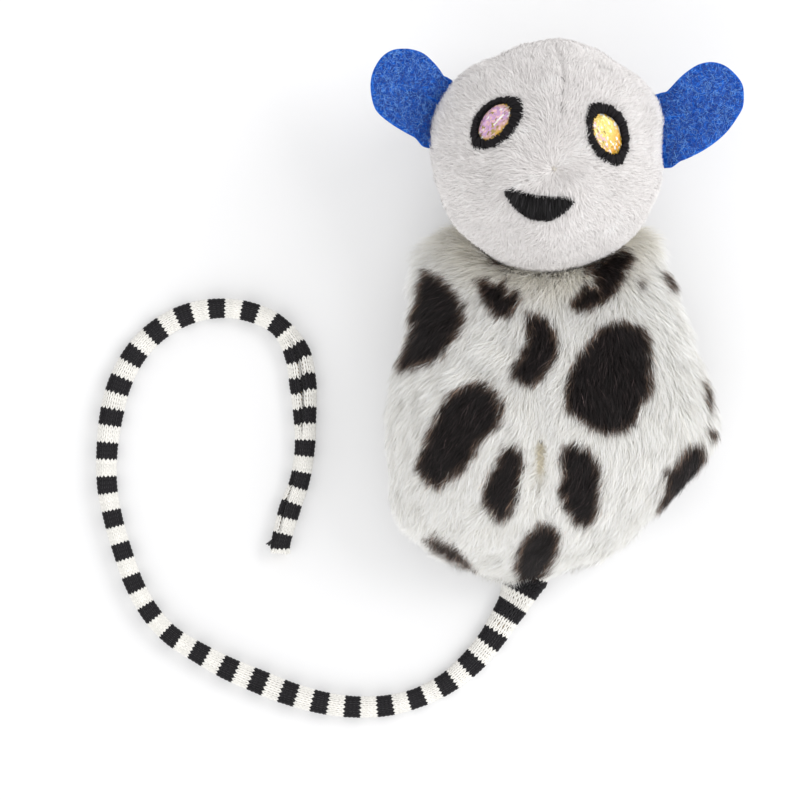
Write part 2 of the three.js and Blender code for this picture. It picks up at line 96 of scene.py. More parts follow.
def grid_quads(rows: int, columns: int) -> Array:
    """Return the faces of a grid of points whose columns wrap round.

    Args:
        rows: Points from end to end.
        columns: Points round each row.

    Returns:
        Quads, in the order of the grid.
    """
    row = (np.arange(rows - 1) * columns)[:, None]
    here = np.arange(columns)[None]
    after = (here + 1) % columns
    quads = np.stack([row + here, row + after, row + columns + after, row + columns + here], axis=-1)
    return quads.reshape(-1, 4)


def spline(before: Array, start: Array, end: Array, beyond: Array, t: Array) -> Array:
    """Run a smooth curve between two points.

    Args:
        before: Point before the first.
        start: First point.
        end: Second point.
        beyond: Point after the second.
        t: Shares of the way, from 0 to 1.

    Returns:
        Points on the curve.
    """
    bend = 2 * before - 5 * start + 4 * end - beyond
    twist = 3 * start - before - 3 * end + beyond
    return 0.5 * (2 * start + (end - before) * t + bend * t**2 + twist * t**3)


def joint_named(name: str) -> dict[str, object]:
    """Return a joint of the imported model."""
    return next(joint for joint in frame["joints"] if joint["name"] == name)


@dataclass(frozen=True)
class Ripple:
    """Smooth noise of about unit height, made of plane waves in random directions."""

    wavelength: float
    seed: int
    waves: int = 24

    def at(self, points: Array) -> Array:
        """Return the noise at each point.

        Args:
            points: Places, one in each row.

        Returns:
            One value for each point.
        """
        rng = np.random.default_rng(self.seed)
        directions = unit(rng.normal(size=(self.waves, points.shape[-1])))
        numbers = 2 * math.pi / (self.wavelength * rng.uniform(0.7, 1.5, self.waves))
        phases = rng.uniform(0, 2 * math.pi, self.waves)
        return np.sin(points @ directions.T * numbers + phases).sum(axis=-1) * math.sqrt(2 / self.waves)


def cell_chart(strands: int, across: int, along: int) -> Array:
    """Give each strand a small cell of the texture chart.

    Args:
        strands: Number of strands.
        across: Points across a strand.
        along: Points along a strand.

    Returns:
        Chart places, in the order of the strands' points.
    """
    side = math.ceil(math.sqrt(strands))
    cell = np.arange(strands)
    corner = np.stack([cell % side, cell // side], axis=1)[:, None, None, :]
    steps = (np.linspace(0.2, 0.8, count) for count in (along, across))
    inner = np.stack(np.meshgrid(*steps, indexing="ij"), axis=-1)
    return ((corner + inner[None]) / side).reshape(-1, 2)


def add_piece(
    name: str,
    points: Array,
    face_sets: list[Array],
    material: bpy.types.Material,
    tint: Array | None = None,
    chart: Array | None = None,
) -> bpy.types.Object:
    """Make a mesh object from arrays.

    Args:
        name: Name of the piece.
        points: Vertex places.
        face_sets: Arrays of faces, each with a fixed number of corners.
        material: Its finish.
        tint: Linear colour of each vertex.
        chart: Texture place of each vertex.

    Returns:
        The new object.
    """
    mesh = bpy.data.meshes.new(name)
    corners = np.concatenate([faces.reshape(-1) for faces in face_sets]).astype(np.int32)
    sizes = np.concatenate([np.full(len(faces), faces.shape[1]) for faces in face_sets])
    mesh.vertices.add(len(points))
    mesh.vertices.foreach_set("co", points.astype(np.float32).ravel())
    mesh.loops.add(len(corners))
    mesh.loops.foreach_set("vertex_index", corners)
    mesh.polygons.add(len(sizes))
    mesh.polygons.foreach_set("loop_start", np.concatenate([[0], np.cumsum(sizes)[:-1]]).astype(np.int32))
    mesh.polygons.foreach_set("use_smooth", np.ones(len(sizes), bool))
    if tint is not None:
        colours = np.concatenate([tint, np.ones((len(tint), 1))], axis=1)
        mesh.color_attributes.new("tint", "FLOAT_COLOR", "POINT").data.foreach_set(
            "color", colours.astype(np.float32).ravel())
    if chart is not None:
        mesh.uv_layers.new(name="OFBake").data.foreach_set("uv", chart[corners].astype(np.float32).ravel())
    mesh.update(calc_edges=True)
    mesh.validate()
    mesh.materials.append(material)
    piece = bpy.data.objects.new(name, mesh)
    bpy.context.scene.collection.objects.link(piece)
    LOG.info("made %s with %d faces", name, len(sizes))
    return piece


def sweep(paths: Array, radii: Array, sides: int, up: Array) -> tuple[Array, list[Array]]:
    """Sweep a round section along many paths of the same number of points, with closed ends.

    Args:
        paths: Path points, as paths by points by 3.
        radii: Radius at each point of each path.
        sides: Even number of sides of the section.
        up: Direction that the section's second axis keeps to.

    Returns:
        Vertex places and face arrays.
    """
    count, steps = paths.shape[:2]
    tangent = unit(np.gradient(paths, axis=1))
    side = unit(np.cross(tangent, np.broadcast_to(up, paths.shape)))
    rise = np.cross(side, tangent)
    angle = 2 * math.pi * np.arange(sides) / sides
    ring = np.cos(angle)[:, None] * side[:, :, None] + np.sin(angle)[:, None] * rise[:, :, None]
    points = paths[:, :, None] + np.broadcast_to(radii, (count, steps))[:, :, None, None] * ring
    start = (np.arange(count) * steps * sides)[:, None, None]
    row = (np.arange(steps - 1) * sides)[None, :, None]
    here = np.arange(sides)[None, None]
    following = (here + 1) % sides
    walls = np.stack([start + row + here, start + row + sides + here, start + row + sides + following,
                      start + row + following], axis=-1).reshape(-1, 4)
    fan = np.array([[0, i + 1, i + 2, i + 3] for i in range(0, sides - 2, 2)])
    near = (start.reshape(-1, 1, 1) + fan).reshape(-1, 4)
    far = (start.reshape(-1, 1, 1) + (steps - 1) * sides + fan[:, ::-1]).reshape(-1, 4)
    return points.reshape(-1, 3), [walls, near, far]


def per_point(values: Array, each: int) -> Array:
    """Repeat one row for each strand over all its points."""
    return np.repeat(values, each, axis=0)


def add_node(
    tree: bpy.types.NodeTree, kind: str, links: dict[str | int, Socket] | None = None, **values: object
) -> bpy.types.Node:
    """Add a node to a tree.

    Args:
        tree: The node tree.
        kind: Node type without its ShaderNode prefix.
        links: Sockets to link, by input name or number.
        **values: Properties, or input values by name with spaces as underscores.

    Returns:
        The new node.
    """
    node = tree.nodes.new("ShaderNode" + kind)
    for name, value in values.items():
        if hasattr(node, name):
            setattr(node, name, value)
        else:
            node.inputs[name.replace("_", " ").title()].default_value = value
    for name, socket in (links or {}).items():
        tree.links.new(socket, node.inputs[name])
    return node


class Shading:
    """Node tree of one finish, around its Principled shader."""

    def __init__(self, name: str, roughness: float, specular: float = 0.3, metallic: float = 0.0) -> None:
        """Make the material.

        Args:
            name: Name of the material.
            roughness: Base roughness.
            specular: Specular level.
            metallic: Share of metal.
        """
        self.material = bpy.data.materials.new(name)
        self.material.use_nodes = True
        self.tree = self.material.node_tree
        self.shader = self.tree.nodes["Principled BSDF"]
        self.shader.inputs["Roughness"].default_value = roughness
        self.shader.inputs["Specular IOR Level"].default_value = specular
        self.shader.inputs["Metallic"].default_value = metallic

    def add(self, kind: str, links: dict[str, Socket] | None = None, **values: object) -> bpy.types.Node:
        """Add a node to the finish."""
        return add_node(self.tree, kind, links, **values)

    def coordinates(self, scale: Triple = (1, 1, 1), chart: bool = False) -> Socket:
        """Return object or chart coordinates, scaled along each axis."""
        source = self.add("TexCoord").outputs["UV" if chart else "Object"]
        return self.add("Mapping", {"Vector": source}, Scale=scale).outputs["Vector"]

    def noise(self, vector: Socket, scale: float, detail: float = 3.0) -> Socket:
        """Return the value of a noise texture."""
        return self.add("TexNoise", {"Vector": vector}, Scale=scale, Detail=detail).outputs["Fac"]

    def spread(self, value: Socket, low: float, high: float) -> Socket:
        """Return a value between 0 and 1 mapped to lie between low and high."""
        mapped = self.add("MapRange", {"Value": value})
        mapped.inputs["To Min"].default_value = low
        mapped.inputs["To Max"].default_value = high
        return mapped.outputs["Result"]

    def tinted(self, shade: Socket | None = None) -> Socket:
        """Return the vertex tint, multiplied by a shade where one is given."""
        tint = self.add("Attribute", attribute_name="tint").outputs["Color"]
        if shade is None:
            return tint
        return self.mixed("MULTIPLY", 1.0, tint, shade)

    def mixed(self, blend: str, factor: float | Socket, first: object, second: object) -> Socket:
        """Mix two colours.

        Args:
            blend: Blend type.
            factor: Share of the second colour, or its socket.
            first: Colour or socket.
            second: Colour or socket.

        Returns:
            The mixed colour's socket.
        """
        node = self.add("Mix", data_type="RGBA", blend_type=blend)
        for socket, value in ((node.inputs[0], factor), (node.inputs[6], first), (node.inputs[7], second)):
            if isinstance(value, Socket):
                self.tree.links.new(value, socket)
            else:
                socket.default_value = value if isinstance(value, (int, float)) else (*value, 1.0)
        return node.outputs[2]

    def ramp(self, value: Socket, *stops: tuple[float, Triple]) -> Socket:
        """Colour a value by stops, each a place and a linear colour."""
        node = self.add("ValToRGB", {"Fac": value})
        elements = node.color_ramp.elements
        while len(elements) < len(stops):
            elements.new(0.5)
        for element, (place, colour) in zip(elements, stops):
            element.position = place
            element.color = (*colour, 1.0)
        return node.outputs["Color"]

    def finish(self, colour: Socket, height: Socket | None = None,
               distance: float = 0.0, strength: float = 1.0) -> bpy.types.Material:
        """Link the colour and an optional bump.

        Args:
            colour: Base colour.
            height: Bump height from 0 to 1.
            distance: Depth of the bump in metres.
            strength: Strength of the bump.

        Returns:
            The finished material.
        """
        self.tree.links.new(colour, self.shader.inputs["Base Color"])
        if height is not None:
            bump = self.add("Bump", {"Height": height}, Strength=strength, Distance=distance)
            self.tree.links.new(bump.outputs["Normal"], self.shader.inputs["Normal"])
        return self.material


@dataclass(frozen=True)
class PileFinish:
    """Fibres of fur or plush, coloured strand by strand."""

    name: str
    roughness: float = 0.62
    sheen: float = 0.9

    def build(self) -> bpy.types.Material:
        """Return the material."""
        shading = Shading(self.name, self.roughness, specular=0.28)
        shading.shader.inputs["Sheen Weight"].default_value = self.sheen
        shading.shader.inputs["Sheen Roughness"].default_value = 0.45
        shading.tree.links.new(shading.tinted(), shading.shader.inputs["Sheen Tint"])
        grain = shading.noise(shading.coordinates(), 1600.0, 2.0)
        return shading.finish(shading.tinted(shading.spread(grain, 0.96, 1.03)))


@dataclass(frozen=True)
class BackingFinish:
    """Knitted backing cloth between the roots of the pile."""

    name: str
    loops_per_metre: float = 1500.0

    def build(self) -> bpy.types.Material:
        """Return the material."""
        shading = Shading(self.name, 0.95, specular=0.15)
        place = shading.coordinates((1.0, 1.4, 1.0))
        loops = shading.add("TexVoronoi", {"Vector": place}, Scale=self.loops_per_metre).outputs["Distance"]
        shade = shading.spread(loops, 0.72, 1.0)
        return shading.finish(shading.tinted(shade), loops, 0.15 * MM, 0.8)


@dataclass(frozen=True)
class FeltFinish:
    """Pressed felt with a mottled, matted surface."""

    name: str
    deep: Triple
    plain: Triple
    light: Triple

    def build(self) -> bpy.types.Material:
        """Return the material."""
        shading = Shading(self.name, 0.95, specular=0.12)
        shading.shader.inputs["Sheen Weight"].default_value = 0.15
        shading.shader.inputs["Sheen Tint"].default_value = (*self.light, 1.0)
        place = shading.coordinates()
        cloud = shading.noise(place, 260.0, 3.0)
        fibre = shading.noise(shading.coordinates((1.0, 3.2, 1.0)), 900.0, 6.0)
        cross = shading.noise(shading.coordinates((3.0, 1.0, 2.0)), 1000.0, 6.0)
        matted = shading.mixed("LIGHTEN", 1.0, fibre, cross)
        base = shading.ramp(matted, (0.42, self.deep), (0.56, self.plain), (0.74, self.light))
        colour = shading.mixed("OVERLAY", 0.35, base, cloud)
        return shading.finish(colour, matted, 0.25 * MM, 0.9)


@dataclass(frozen=True)
class YarnFinish:
    """Twisted yarn or thread, with its plies along the texture chart."""

    name: str
    roughness: float = 0.75
    sheen: float = 0.15
    specular: float = 0.25
    gloss: float = 0.0

    def build(self) -> bpy.types.Material:
        """Return the material."""
        shading = Shading(self.name, self.roughness, specular=self.specular)
        shading.shader.inputs["Sheen Weight"].default_value = self.sheen
        shading.shader.inputs["Coat Weight"].default_value = self.gloss
        shading.shader.inputs["Coat Roughness"].default_value = 0.35
        grain = shading.noise(shading.coordinates(), 3200.0, 3.0)
        shade = shading.spread(grain, 0.8, 1.12)
        return shading.finish(shading.tinted(shade), grain, 0.08 * MM, 0.7)


@dataclass(frozen=True)
class FilmFinish:
    """Crinkled iridescent film under a clear gloss."""

    name: str

    def build(self) -> bpy.types.Material:
        """Return the material."""
        shading = Shading(self.name, 0.25, specular=0.5, metallic=0.1)
        shading.shader.inputs["Coat Weight"].default_value = 0.4
        shading.shader.inputs["Coat Roughness"].default_value = 0.06
        crinkle = shading.noise(shading.coordinates(), 1500.0, 4.0)
        return shading.finish(shading.tinted(shading.spread(crinkle, 0.88, 1.1)), crinkle, 0.08 * MM, 0.7)


@dataclass(frozen=True)
class ClothFinish:
    """Plain woven cloth or loose fibre that lies inside."""

    name: str
    dark: Triple
    light: Triple
    threads_per_metre: float

    def build(self) -> bpy.types.Material:
        """Return the material."""
        shading = Shading(self.name, 0.95, specular=0.15)
        place = shading.coordinates()
        warp, weft = (
            shading.add("TexWave", {"Vector": place}, bands_direction=axis,
                        Scale=self.threads_per_metre, Distortion=2.0).outputs["Fac"]
            for axis in "XY")
        weave = shading.mixed("MULTIPLY", 1.0, warp, weft)
        return shading.finish(shading.ramp(weave, (0.0, self.dark), (1.0, self.light)), weave, 0.1 * MM)


@dataclass(frozen=True)
class Surface:
    """Closed surface as a grid whose rows run from pole to pole and whose columns wrap round."""

    points: Array
    normals: Array

    @classmethod
    def of(cls, points: Array, middle: Array) -> "Surface":
        """Work out outward normals of a grid of points.

        Args:
            points: Rows by columns by 3.
            middle: A point inside the surface.

        Returns:
            The surface.
        """
        down = np.gradient(points, axis=0)
        wrapped = np.concatenate([points[:, -1:], points, points[:, :1]], axis=1)
        around = (wrapped[:, 2:] - wrapped[:, :-2]) / 2
        around[0], around[-1] = around[1], around[-2]
        normals = unit(np.cross(down, around))
        outward = np.sign((normals * (points - middle)).sum(axis=-1).mean())
        return cls(points, normals * outward)

    def inset(self, depth: Array | float) -> Array:
        """Return the grid drawn in by a depth along its normals."""
        depths = np.broadcast_to(depth, self.points.shape[:2])
        return self.points - self.normals * depths[..., None]

    def faces(self) -> list[Array]:
        """Return the quads of the grid, turned outwards."""
        quads = grid_quads(*self.points.shape[:2])
        flat = self.points.reshape(-1, 3)
        first = flat[quads]
        turned = np.cross(first[:, 2] - first[:, 0], first[:, 3] - first[:, 1])
        if (turned * self.normals.reshape(-1, 3)[quads[:, 0]]).sum() < 0:
            quads = quads[:, ::-1]
        return [quads]

    def chart(self) -> Array:
        """Return the texture places of the grid as one sheet."""
        rows, columns = self.points.shape[:2]
        steps = (np.linspace(0.01, 0.99, count) for count in (rows, columns))
        down, around = np.meshgrid(*steps, indexing="ij")
        return np.stack([around, down], axis=-1).reshape(-1, 2)

    def scatter(self, count: int, seed: int) -> tuple[Array, Array]:
        """Scatter places evenly over the surface.

        Args:
            count: Number of places.
            seed: Seed of the random draws.

        Returns:
            Places and normals.
        """
        rng = np.random.default_rng(seed)
        flat, normals = self.points.reshape(-1, 3), self.normals.reshape(-1, 3)
        quads = self.faces()[0]
        triangles = np.concatenate([quads[:, [0, 1, 2]], quads[:, [0, 2, 3]]])
        triangles = triangles[np.lexsort((triangles[:, 0],))]
        a, b, c = (flat[triangles[:, i]] for i in range(3))
        areas = np.cumsum(np.linalg.norm(np.cross(b - a, c - a), axis=1) / 2)
        draws = (np.arange(count) + rng.random(count)) / count * areas[-1]
        picked = triangles[np.clip(np.searchsorted(areas, draws), 0, len(triangles) - 1)]
        first, second = rng.random((2, count, 1))
        folded = first + second > 1
        first, second = np.where(folded, 1 - first, first), np.where(folded, 1 - second, second)
        shares = np.stack([1 - first - second, first, second], axis=1)
        return (flat[picked] * shares).sum(axis=1), unit((normals[picked] * shares).sum(axis=1))


@dataclass(frozen=True)
class Pile:
    """Fibres of one fabric: tapered ribbons that rise from the backing and lie over in its flow."""

    length: float
    width: float
    rise_share: float
    steps: int
    clump_size: float
    clump_pull: float
    seed: int
    stray: float = 0.16
    ruffle: float = 0.5
    rise_spread: float = 0.3

    def grow(
        self, roots: Array, normals: Array, flow: Array, stretch: Array, rise: Array | None = None
    ) -> Array:
        """Grow the centre lines of the fibres.

        Args:
            roots: Place of each root.
            normals: Outward direction at each root.
            flow: Direction in which each fibre is combed.
            stretch: Share of the full length that each fibre has.
            rise: Share of its length by which each tip stands off, where it isn't the pile's own.

        Returns:
            Points, as fibres by points by 3.
        """
        rng = np.random.default_rng(self.seed)
        count = len(roots)
        rises = np.full(count, self.rise_share) if rise is None else rise
        spread = self.rise_spread
        rises = np.clip(rises * rng.uniform(1 - spread, 1 + 1.3 * spread, count), 0.05, 0.8)
        along = unit(flow - normals * dot(flow, normals))
        sideways = np.cross(normals, along)
        along = unit(along + sideways * rng.normal(0, self.stray, (count, 1)))
        t = np.linspace(0, 1, self.steps + 1)[None, :, None]
        height = rises[:, None, None] * (1 - (1 - t) ** 1.7)
        reach = np.sqrt(1 - rises**2)[:, None, None] * t ** 1.25
        lengths = (self.length * stretch)[:, None, None]
        wave = Ripple(self.clump_size * 5, self.seed + 1).at(roots)[:, None, None]
        lines = roots[:, None] + lengths * (
            height * normals[:, None] + reach * along[:, None] + 0.04 * wave * t**2 * sideways[:, None])
        return self.clumped(lines, roots, t)

    def clumped(self, lines: Array, roots: Array, t: Array) -> Array:
        """Draw the tips of neighbouring fibres together.

        Args:
            lines: Centre lines of the fibres.
            roots: Their roots.
            t: Share along the fibre of each point.

        Returns:
            The gathered centre lines.
        """
        rng = np.random.default_rng(self.seed + 2)
        spacing = max(2, int(len(roots) * self.clump_size**2 / self.area(roots)))
        leaders = rng.permutation(len(roots))[: max(1, len(roots) // spacing)]
        tree = KDTree(len(leaders))
        for i, leader in enumerate(leaders):
            tree.insert(roots[leader], i)
        tree.balance()
        jitter = rng.normal(0, self.clump_size * 0.15, roots.shape)
        owner = leaders[np.array([tree.find(p)[1] for p in roots + jitter])]
        pull = self.clump_pull * rng.uniform(0.3, 1.0, (len(roots), 1, 1))
        return lines + pull * t**1.6 * (lines[owner] - lines)

    @staticmethod
    def area(roots: Array) -> float:
        """Estimate the area that the roots cover, from the box round them."""
        size = np.ptp(roots, axis=0)
        return float(2 * (size[0] * size[1] + size[1] * size[2] + size[0] * size[2]) * 0.8)

    def ribbons(self, lines: Array, normals: Array, tints: Array) -> dict[str, object]:
        """Turn centre lines into tapered ribbons.

        Args:
            lines: Centre lines of the fibres.
            normals: Direction that each ribbon faces.
            tints: Colours, as fibres by points by 3.

        Returns:
            Points, faces, tints and chart for add_piece.
        """
        rng = np.random.default_rng(self.seed + 3)
        count, steps = len(lines), self.steps
        tangent = unit(np.gradient(lines, axis=1))
        face = normals[:, None] + rng.normal(0, self.ruffle, (count, 1, 3))
        side = unit(np.cross(tangent, face))
        t = np.linspace(0, 1, steps + 1)
        half = self.width / 2 * rng.uniform(0.7, 1.25, (count, 1)) * np.sqrt(np.clip(1 - t**2, 0, 1))[None]
        left, right = lines - side * half[..., None], lines + side * half[..., None]
        body = np.stack([left[:, :-1], right[:, :-1]], axis=2).reshape(count, -1, 3)
        points = np.concatenate([body, lines[:, -1:]], axis=1)
        each = 2 * steps + 1
        start = (np.arange(count) * each)[:, None]
        rungs = 2 * np.arange(steps - 1)[None]
        quads = np.stack([start + rungs, start + rungs + 1, start + rungs + 3, start + rungs + 2], axis=-1)
        tips = np.concatenate([start + each - 3, start + each - 2, start + each - 1], axis=1)
        tint = np.concatenate([np.repeat(tints[:, :-1], 2, axis=1), tints[:, -1:]], axis=1)
        chart = cell_chart(count, 2, steps + 1).reshape(count, -1, 2)[:, :each]
        return {"points": points.reshape(-1, 3), "face_sets": [quads.reshape(-1, 4), tips],
                "tint": tint.reshape(-1, 3), "chart": chart.reshape(-1, 2)}


@dataclass
class Studio:
    """Overhead camera, soft lamps and a pale floor."""

    view_x: float = -0.03322
    view_y: float = 0.0011
    height: float = 0.9
    field_width: float = 0.176
    floor_size: float = 4.0
    key_place: Triple = (0.66, 0.3, 0.62)
    key_size: float = 0.55
    key_power: float = 4.2
    fill_place: Triple = (-0.4, -0.85, 0.6)
    fill_size: float = 1.2
    fill_power: float = 5.0
    world_level: float = 1.0
    floor_shown: Triple = (0.68, 0.68, 0.685)
    floor_glow: float = 0.26

    def build(self) -> None:
        """Make the camera, the lamps, the world and the floor."""
        self.make_camera()
        self.make_lamp("key_lamp", self.key_place, self.key_size, self.key_power)
        self.make_lamp("fill_lamp", self.fill_place, self.fill_size, self.fill_power)
        self.make_world()
        self.make_floor()

    def make_camera(self) -> None:
        """Stand the camera straight above the toy."""
        camera = bpy.data.cameras.new("camera")
        camera.sensor_width = 36.0
        camera.lens = camera.sensor_width * self.height / self.field_width
        camera.clip_start, camera.clip_end = 0.01, 20.0
        holder = bpy.data.objects.new("camera", camera)
        holder.location = (self.view_x, self.view_y, self.height)
        bpy.context.scene.collection.objects.link(holder)
        bpy.context.scene.camera = holder

    def on_floor(self, points: Array) -> Array:
        """Return the plan places on the floor that the camera sees points at."""
        eye = np.array([self.view_x, self.view_y])
        return eye + (points[..., :2] - eye) / (1 - points[..., 2:3] / self.height)

    @staticmethod
    def make_lamp(name: str, place: Triple, size: float, power: float) -> None:
        """Aim a square lamp at the toy.

        Args:
            name: Name of the lamp.
            place: Where it hangs.
            size: Length of its side.
            power: Power in watts.
        """
        lamp = bpy.data.lights.new(name, "AREA")
        lamp.shape, lamp.size, lamp.energy = "SQUARE", size, power
        holder = bpy.data.objects.new(name, lamp)
        holder.location = place
        holder.rotation_mode = "QUATERNION"
        holder.rotation_quaternion = (Vector((0, 0, 0)) - Vector(place)).to_track_quat("-Z", "Y")
        bpy.context.scene.collection.objects.link(holder)

    def make_world(self) -> None:
        """Light from all round, and white behind the floor."""
        world = bpy.data.worlds.new("world")
        bpy.context.scene.world = world
        world.use_nodes = True
        tree = world.node_tree
        tree.nodes.clear()
        level = add_node(tree, "Mix", {0: self.seen_directly(tree)})
        level.inputs[2].default_value = self.world_level
        level.inputs[3].default_value = 1.0
        back = add_node(tree, "Background", {"Strength": level.outputs[0]})
        add_node(tree, "OutputWorld", {"Surface": back.outputs[0]})

    @staticmethod
    def seen_directly(tree: bpy.types.NodeTree) -> Socket:
        """Return 1 for rays that the camera, gloss or clear material sends."""
        rays = add_node(tree, "LightPath").outputs
        links = {0: rays["Is Camera Ray"], 1: rays["Is Glossy Ray"]}
        first = add_node(tree, "Math", links, operation="MAXIMUM")
        links = {0: first.outputs[0], 1: rays["Is Transmission Ray"]}
        return add_node(tree, "Math", links, operation="MAXIMUM").outputs[0]

    def make_floor(self) -> None:
        """Lay a pale floor that keeps the toy's shadow and otherwise shows white."""
        material = bpy.data.materials.new("pale_floor")
        material.use_nodes = True
        tree = material.node_tree
        tree.nodes.clear()
        plain = add_node(tree, "BsdfDiffuse", Color=(0.8, 0.8, 0.8, 1))
        shown = add_node(tree, "BsdfDiffuse", Color=(*self.floor_shown, 1))
        glow = add_node(tree, "Emission", Strength=self.floor_glow)
        both = add_node(tree, "AddShader", {0: shown.outputs[0], 1: glow.outputs[0]})
        links = {0: self.seen_directly(tree), 1: plain.outputs[0], 2: both.outputs[0]}
        choice = add_node(tree, "MixShader", links)
        add_node(tree, "OutputMaterial", {"Surface": choice.outputs[0]})
        half = self.floor_size / 2
        corners = np.array([[-half, -half, 0], [half, -half, 0], [half, half, 0], [-half, half, 0]], float)
        floor = add_piece("pale_floor", corners, [np.array([[0, 1, 2, 3]])], material)


@dataclass
class SpottedCoat:
    """Near-black spots on off-white fur, as they lie in the view from above, and plain ovals on the back."""

    studio: Studio
    white: Triple = srgb(254, 253, 250)
    # Root colour of the white fur, darker and warmer than the tips: painted shade deep in the pile.
    shaded_white: Triple = srgb(248, 245, 238)
    black: Triple = srgb(25, 20, 20)
    brown: Triple = srgb(90, 73, 62)
    edge: float = 0.8 * MM
    grown: float = 0.35 * MM
    chart_corner: Pair = (-0.046, -0.052)
    chart_shape: tuple[int, int] = (368, 416)
    chart_step: float = 0.25 * MM
    outlines_mm: tuple[tuple[Pair, ...], ...] = (
        ((-27.9, 29.5), (-25.3, 28.8), (-22.2, 26.4), (-19.4, 22.4), (-19.1, 18.9), (-20.5, 15.2),
         (-22.9, 12.8), (-24.9, 9.9), (-30.4, 8.1), (-33.4, 7.7), (-33.7, 8.6), (-32.1, 13.0),
         (-30.4, 18.0), (-31.5, 18.7), (-29.9, 22.2), (-28.8, 27.3)),
        ((-16.3, 27.5), (-13.9, 27.3), (-11.7, 26.6), (-10.1, 27.5), (-9.7, 24.4), (-8.1, 25.1),
         (-6.6, 24.2), (-7.7, 21.6), (-9.2, 19.6), (-11.4, 19.1), (-13.6, 20.9), (-15.2, 24.0)),
        ((-5.3, 19.8), (-3.5, 20.2), (-0.9, 19.1), (0.7, 16.1), (1.5, 12.8), (0.9, 9.9), (-1.3, 6.6),
         (-4.0, 4.2), (-6.4, 4.4), (-8.6, 6.4), (-8.6, 8.1), (-6.6, 10.6), (-5.3, 14.3), (-5.3, 16.7)),
        ((-14.6, 34.4), (-11.2, 34.0), (-8.2, 32.0), (-8.6, 30.0), (-10.4, 30.2), (-13.2, 31.9)),
        ((7.7, 30.6), (11.7, 32.6), (13.6, 33.7), (15.8, 34.3), (17.6, 33.4), (18.0, 31.9), (16.7, 29.7),
         (15.2, 26.6), (12.8, 23.5), (9.5, 21.3), (6.4, 20.7), (4.4, 21.8), (4.8, 23.1), (6.8, 25.1),
         (7.3, 26.6), (9.9, 26.0), (9.5, 28.2), (7.9, 29.3)),
        ((13.2, 18.3), (15.8, 18.5), (19.8, 17.2), (21.6, 14.3), (22.2, 10.3), (22.0, 5.3), (22.0, 2.6),
         (20.0, -0.4), (18.3, -4.2), (15.8, -5.7), (12.3, -6.4), (9.0, -5.3), (6.4, -3.3), (3.5, -1.8),
         (3.1, 2.6), (4.8, 9.2), (7.7, 13.4), (10.3, 16.3)),
        ((-22.2, 2.2), (-19.4, 4.4), (-15.8, 5.3), (-12.5, 3.5), (-10.6, 0.4), (-11.2, -4.4), (-14.1, -6.8),
         (-16.5, -9.9), (-18.7, -13.9), (-21.8, -16.3), (-25.3, -18.0), (-27.3, -16.9), (-29.5, -13.9),
         (-28.6, -11.0), (-26.6, -5.7), (-24.4, -1.1)),
        ((-10.3, -9.5), (-8.1, -9.0), (-6.4, -10.3), (-6.2, -13.6), (-7.3, -18.0), (-7.5, -21.8),
         (-10.3, -25.7), (-12.3, -24.9), (-14.1, -22.2), (-15.0, -19.6), (-13.9, -16.3), (-11.7, -12.8)),
        ((2.9, -9.2), (5.3, -8.6), (8.6, -9.9), (10.3, -12.8), (10.8, -16.3), (10.8, -19.8), (10.3, -22.9),
         (9.5, -25.7), (7.3, -26.6), (5.1, -25.7), (2.9, -22.4), (2.0, -18.7), (2.6, -15.2), (2.0, -12.1)),
        ((-2.6, -25.7), (0.4, -26.6), (2.0, -29.3), (1.5, -32.8), (-0.4, -36.5), (-2.9, -39.5),
         (-6.4, -39.5), (-8.1, -35.6), (-7.3, -32.6), (-5.3, -28.6)),
        ((-27.3, -29.3), (-25.7, -29.3), (-22.2, -31.0), (-19.4, -33.0), (-16.9, -36.3), (-18.7, -35.4),
         (-22.2, -34.1), (-25.7, -31.9)),
        ((30.4, -9.0), (33.2, -9.2), (34.3, -12.1), (33.0, -15.6), (31.5, -18.7), (29.0, -20.5),
         (26.4, -22.4), (23.8, -24.6), (24.0, -21.8), (25.3, -18.0), (25.5, -14.5), (27.3, -13.4),
         (28.6, -11.0)),
        ((33.9, 4.8), (35.2, 2.6), (35.0, -0.9), (33.9, 2.2)),
        ((34.3, -5.9), (35.9, -5.7), (36.7, -7.5), (35.2, -7.3)),
        ((24.9, 28.6), (26.4, 28.2), (27.7, 25.5), (26.0, 25.7)),
        ((19.6, 27.1), (20.2, 27.3), (20.0, 26.0)),
    )
    back_ovals_mm: tuple[tuple[float, float, float, float, float], ...] = (
        (-20, 24, 7, 10, 20), (6, 27, 8, 6, -30), (22, 12, 6, 10, 10), (-4, 9, 7, 11, -15),
        (-24, -4, 7, 9, 25), (12, -12, 9, 8, 0), (-8, -21, 6, 9, -20), (25, -19, 5, 8, 15),
        (4, -26, 8, 4, 10), (-25, -24, 6, 6, 0),
    )

    def __post_init__(self) -> None:
        """Chart once how deep inside the spots each place of the plan lies."""
        steps = np.stack(np.indices(self.chart_shape), axis=-1)
        plan = np.array(self.chart_corner) + self.chart_step * steps.reshape(-1, 2)
        depths = [self.inside(plan, np.array(outline) * MM) for outline in self.outlines_mm]
        self.chart = np.max(depths, axis=0).reshape(self.chart_shape)

    def charted(self, plan: Array) -> Array:
        """Read the chart between its cells."""
        place = (plan - self.chart_corner) / self.chart_step
        place = np.clip(place, 0, np.array(self.chart_shape) - 1.001)
        i, j = place.astype(int).T
        across, up = (place - np.floor(place)).T
        near = self.chart[i, j] * (1 - across) + self.chart[i + 1, j] * across
        far = self.chart[i, j + 1] * (1 - across) + self.chart[i + 1, j + 1] * across
        return near * (1 - up) + far * up

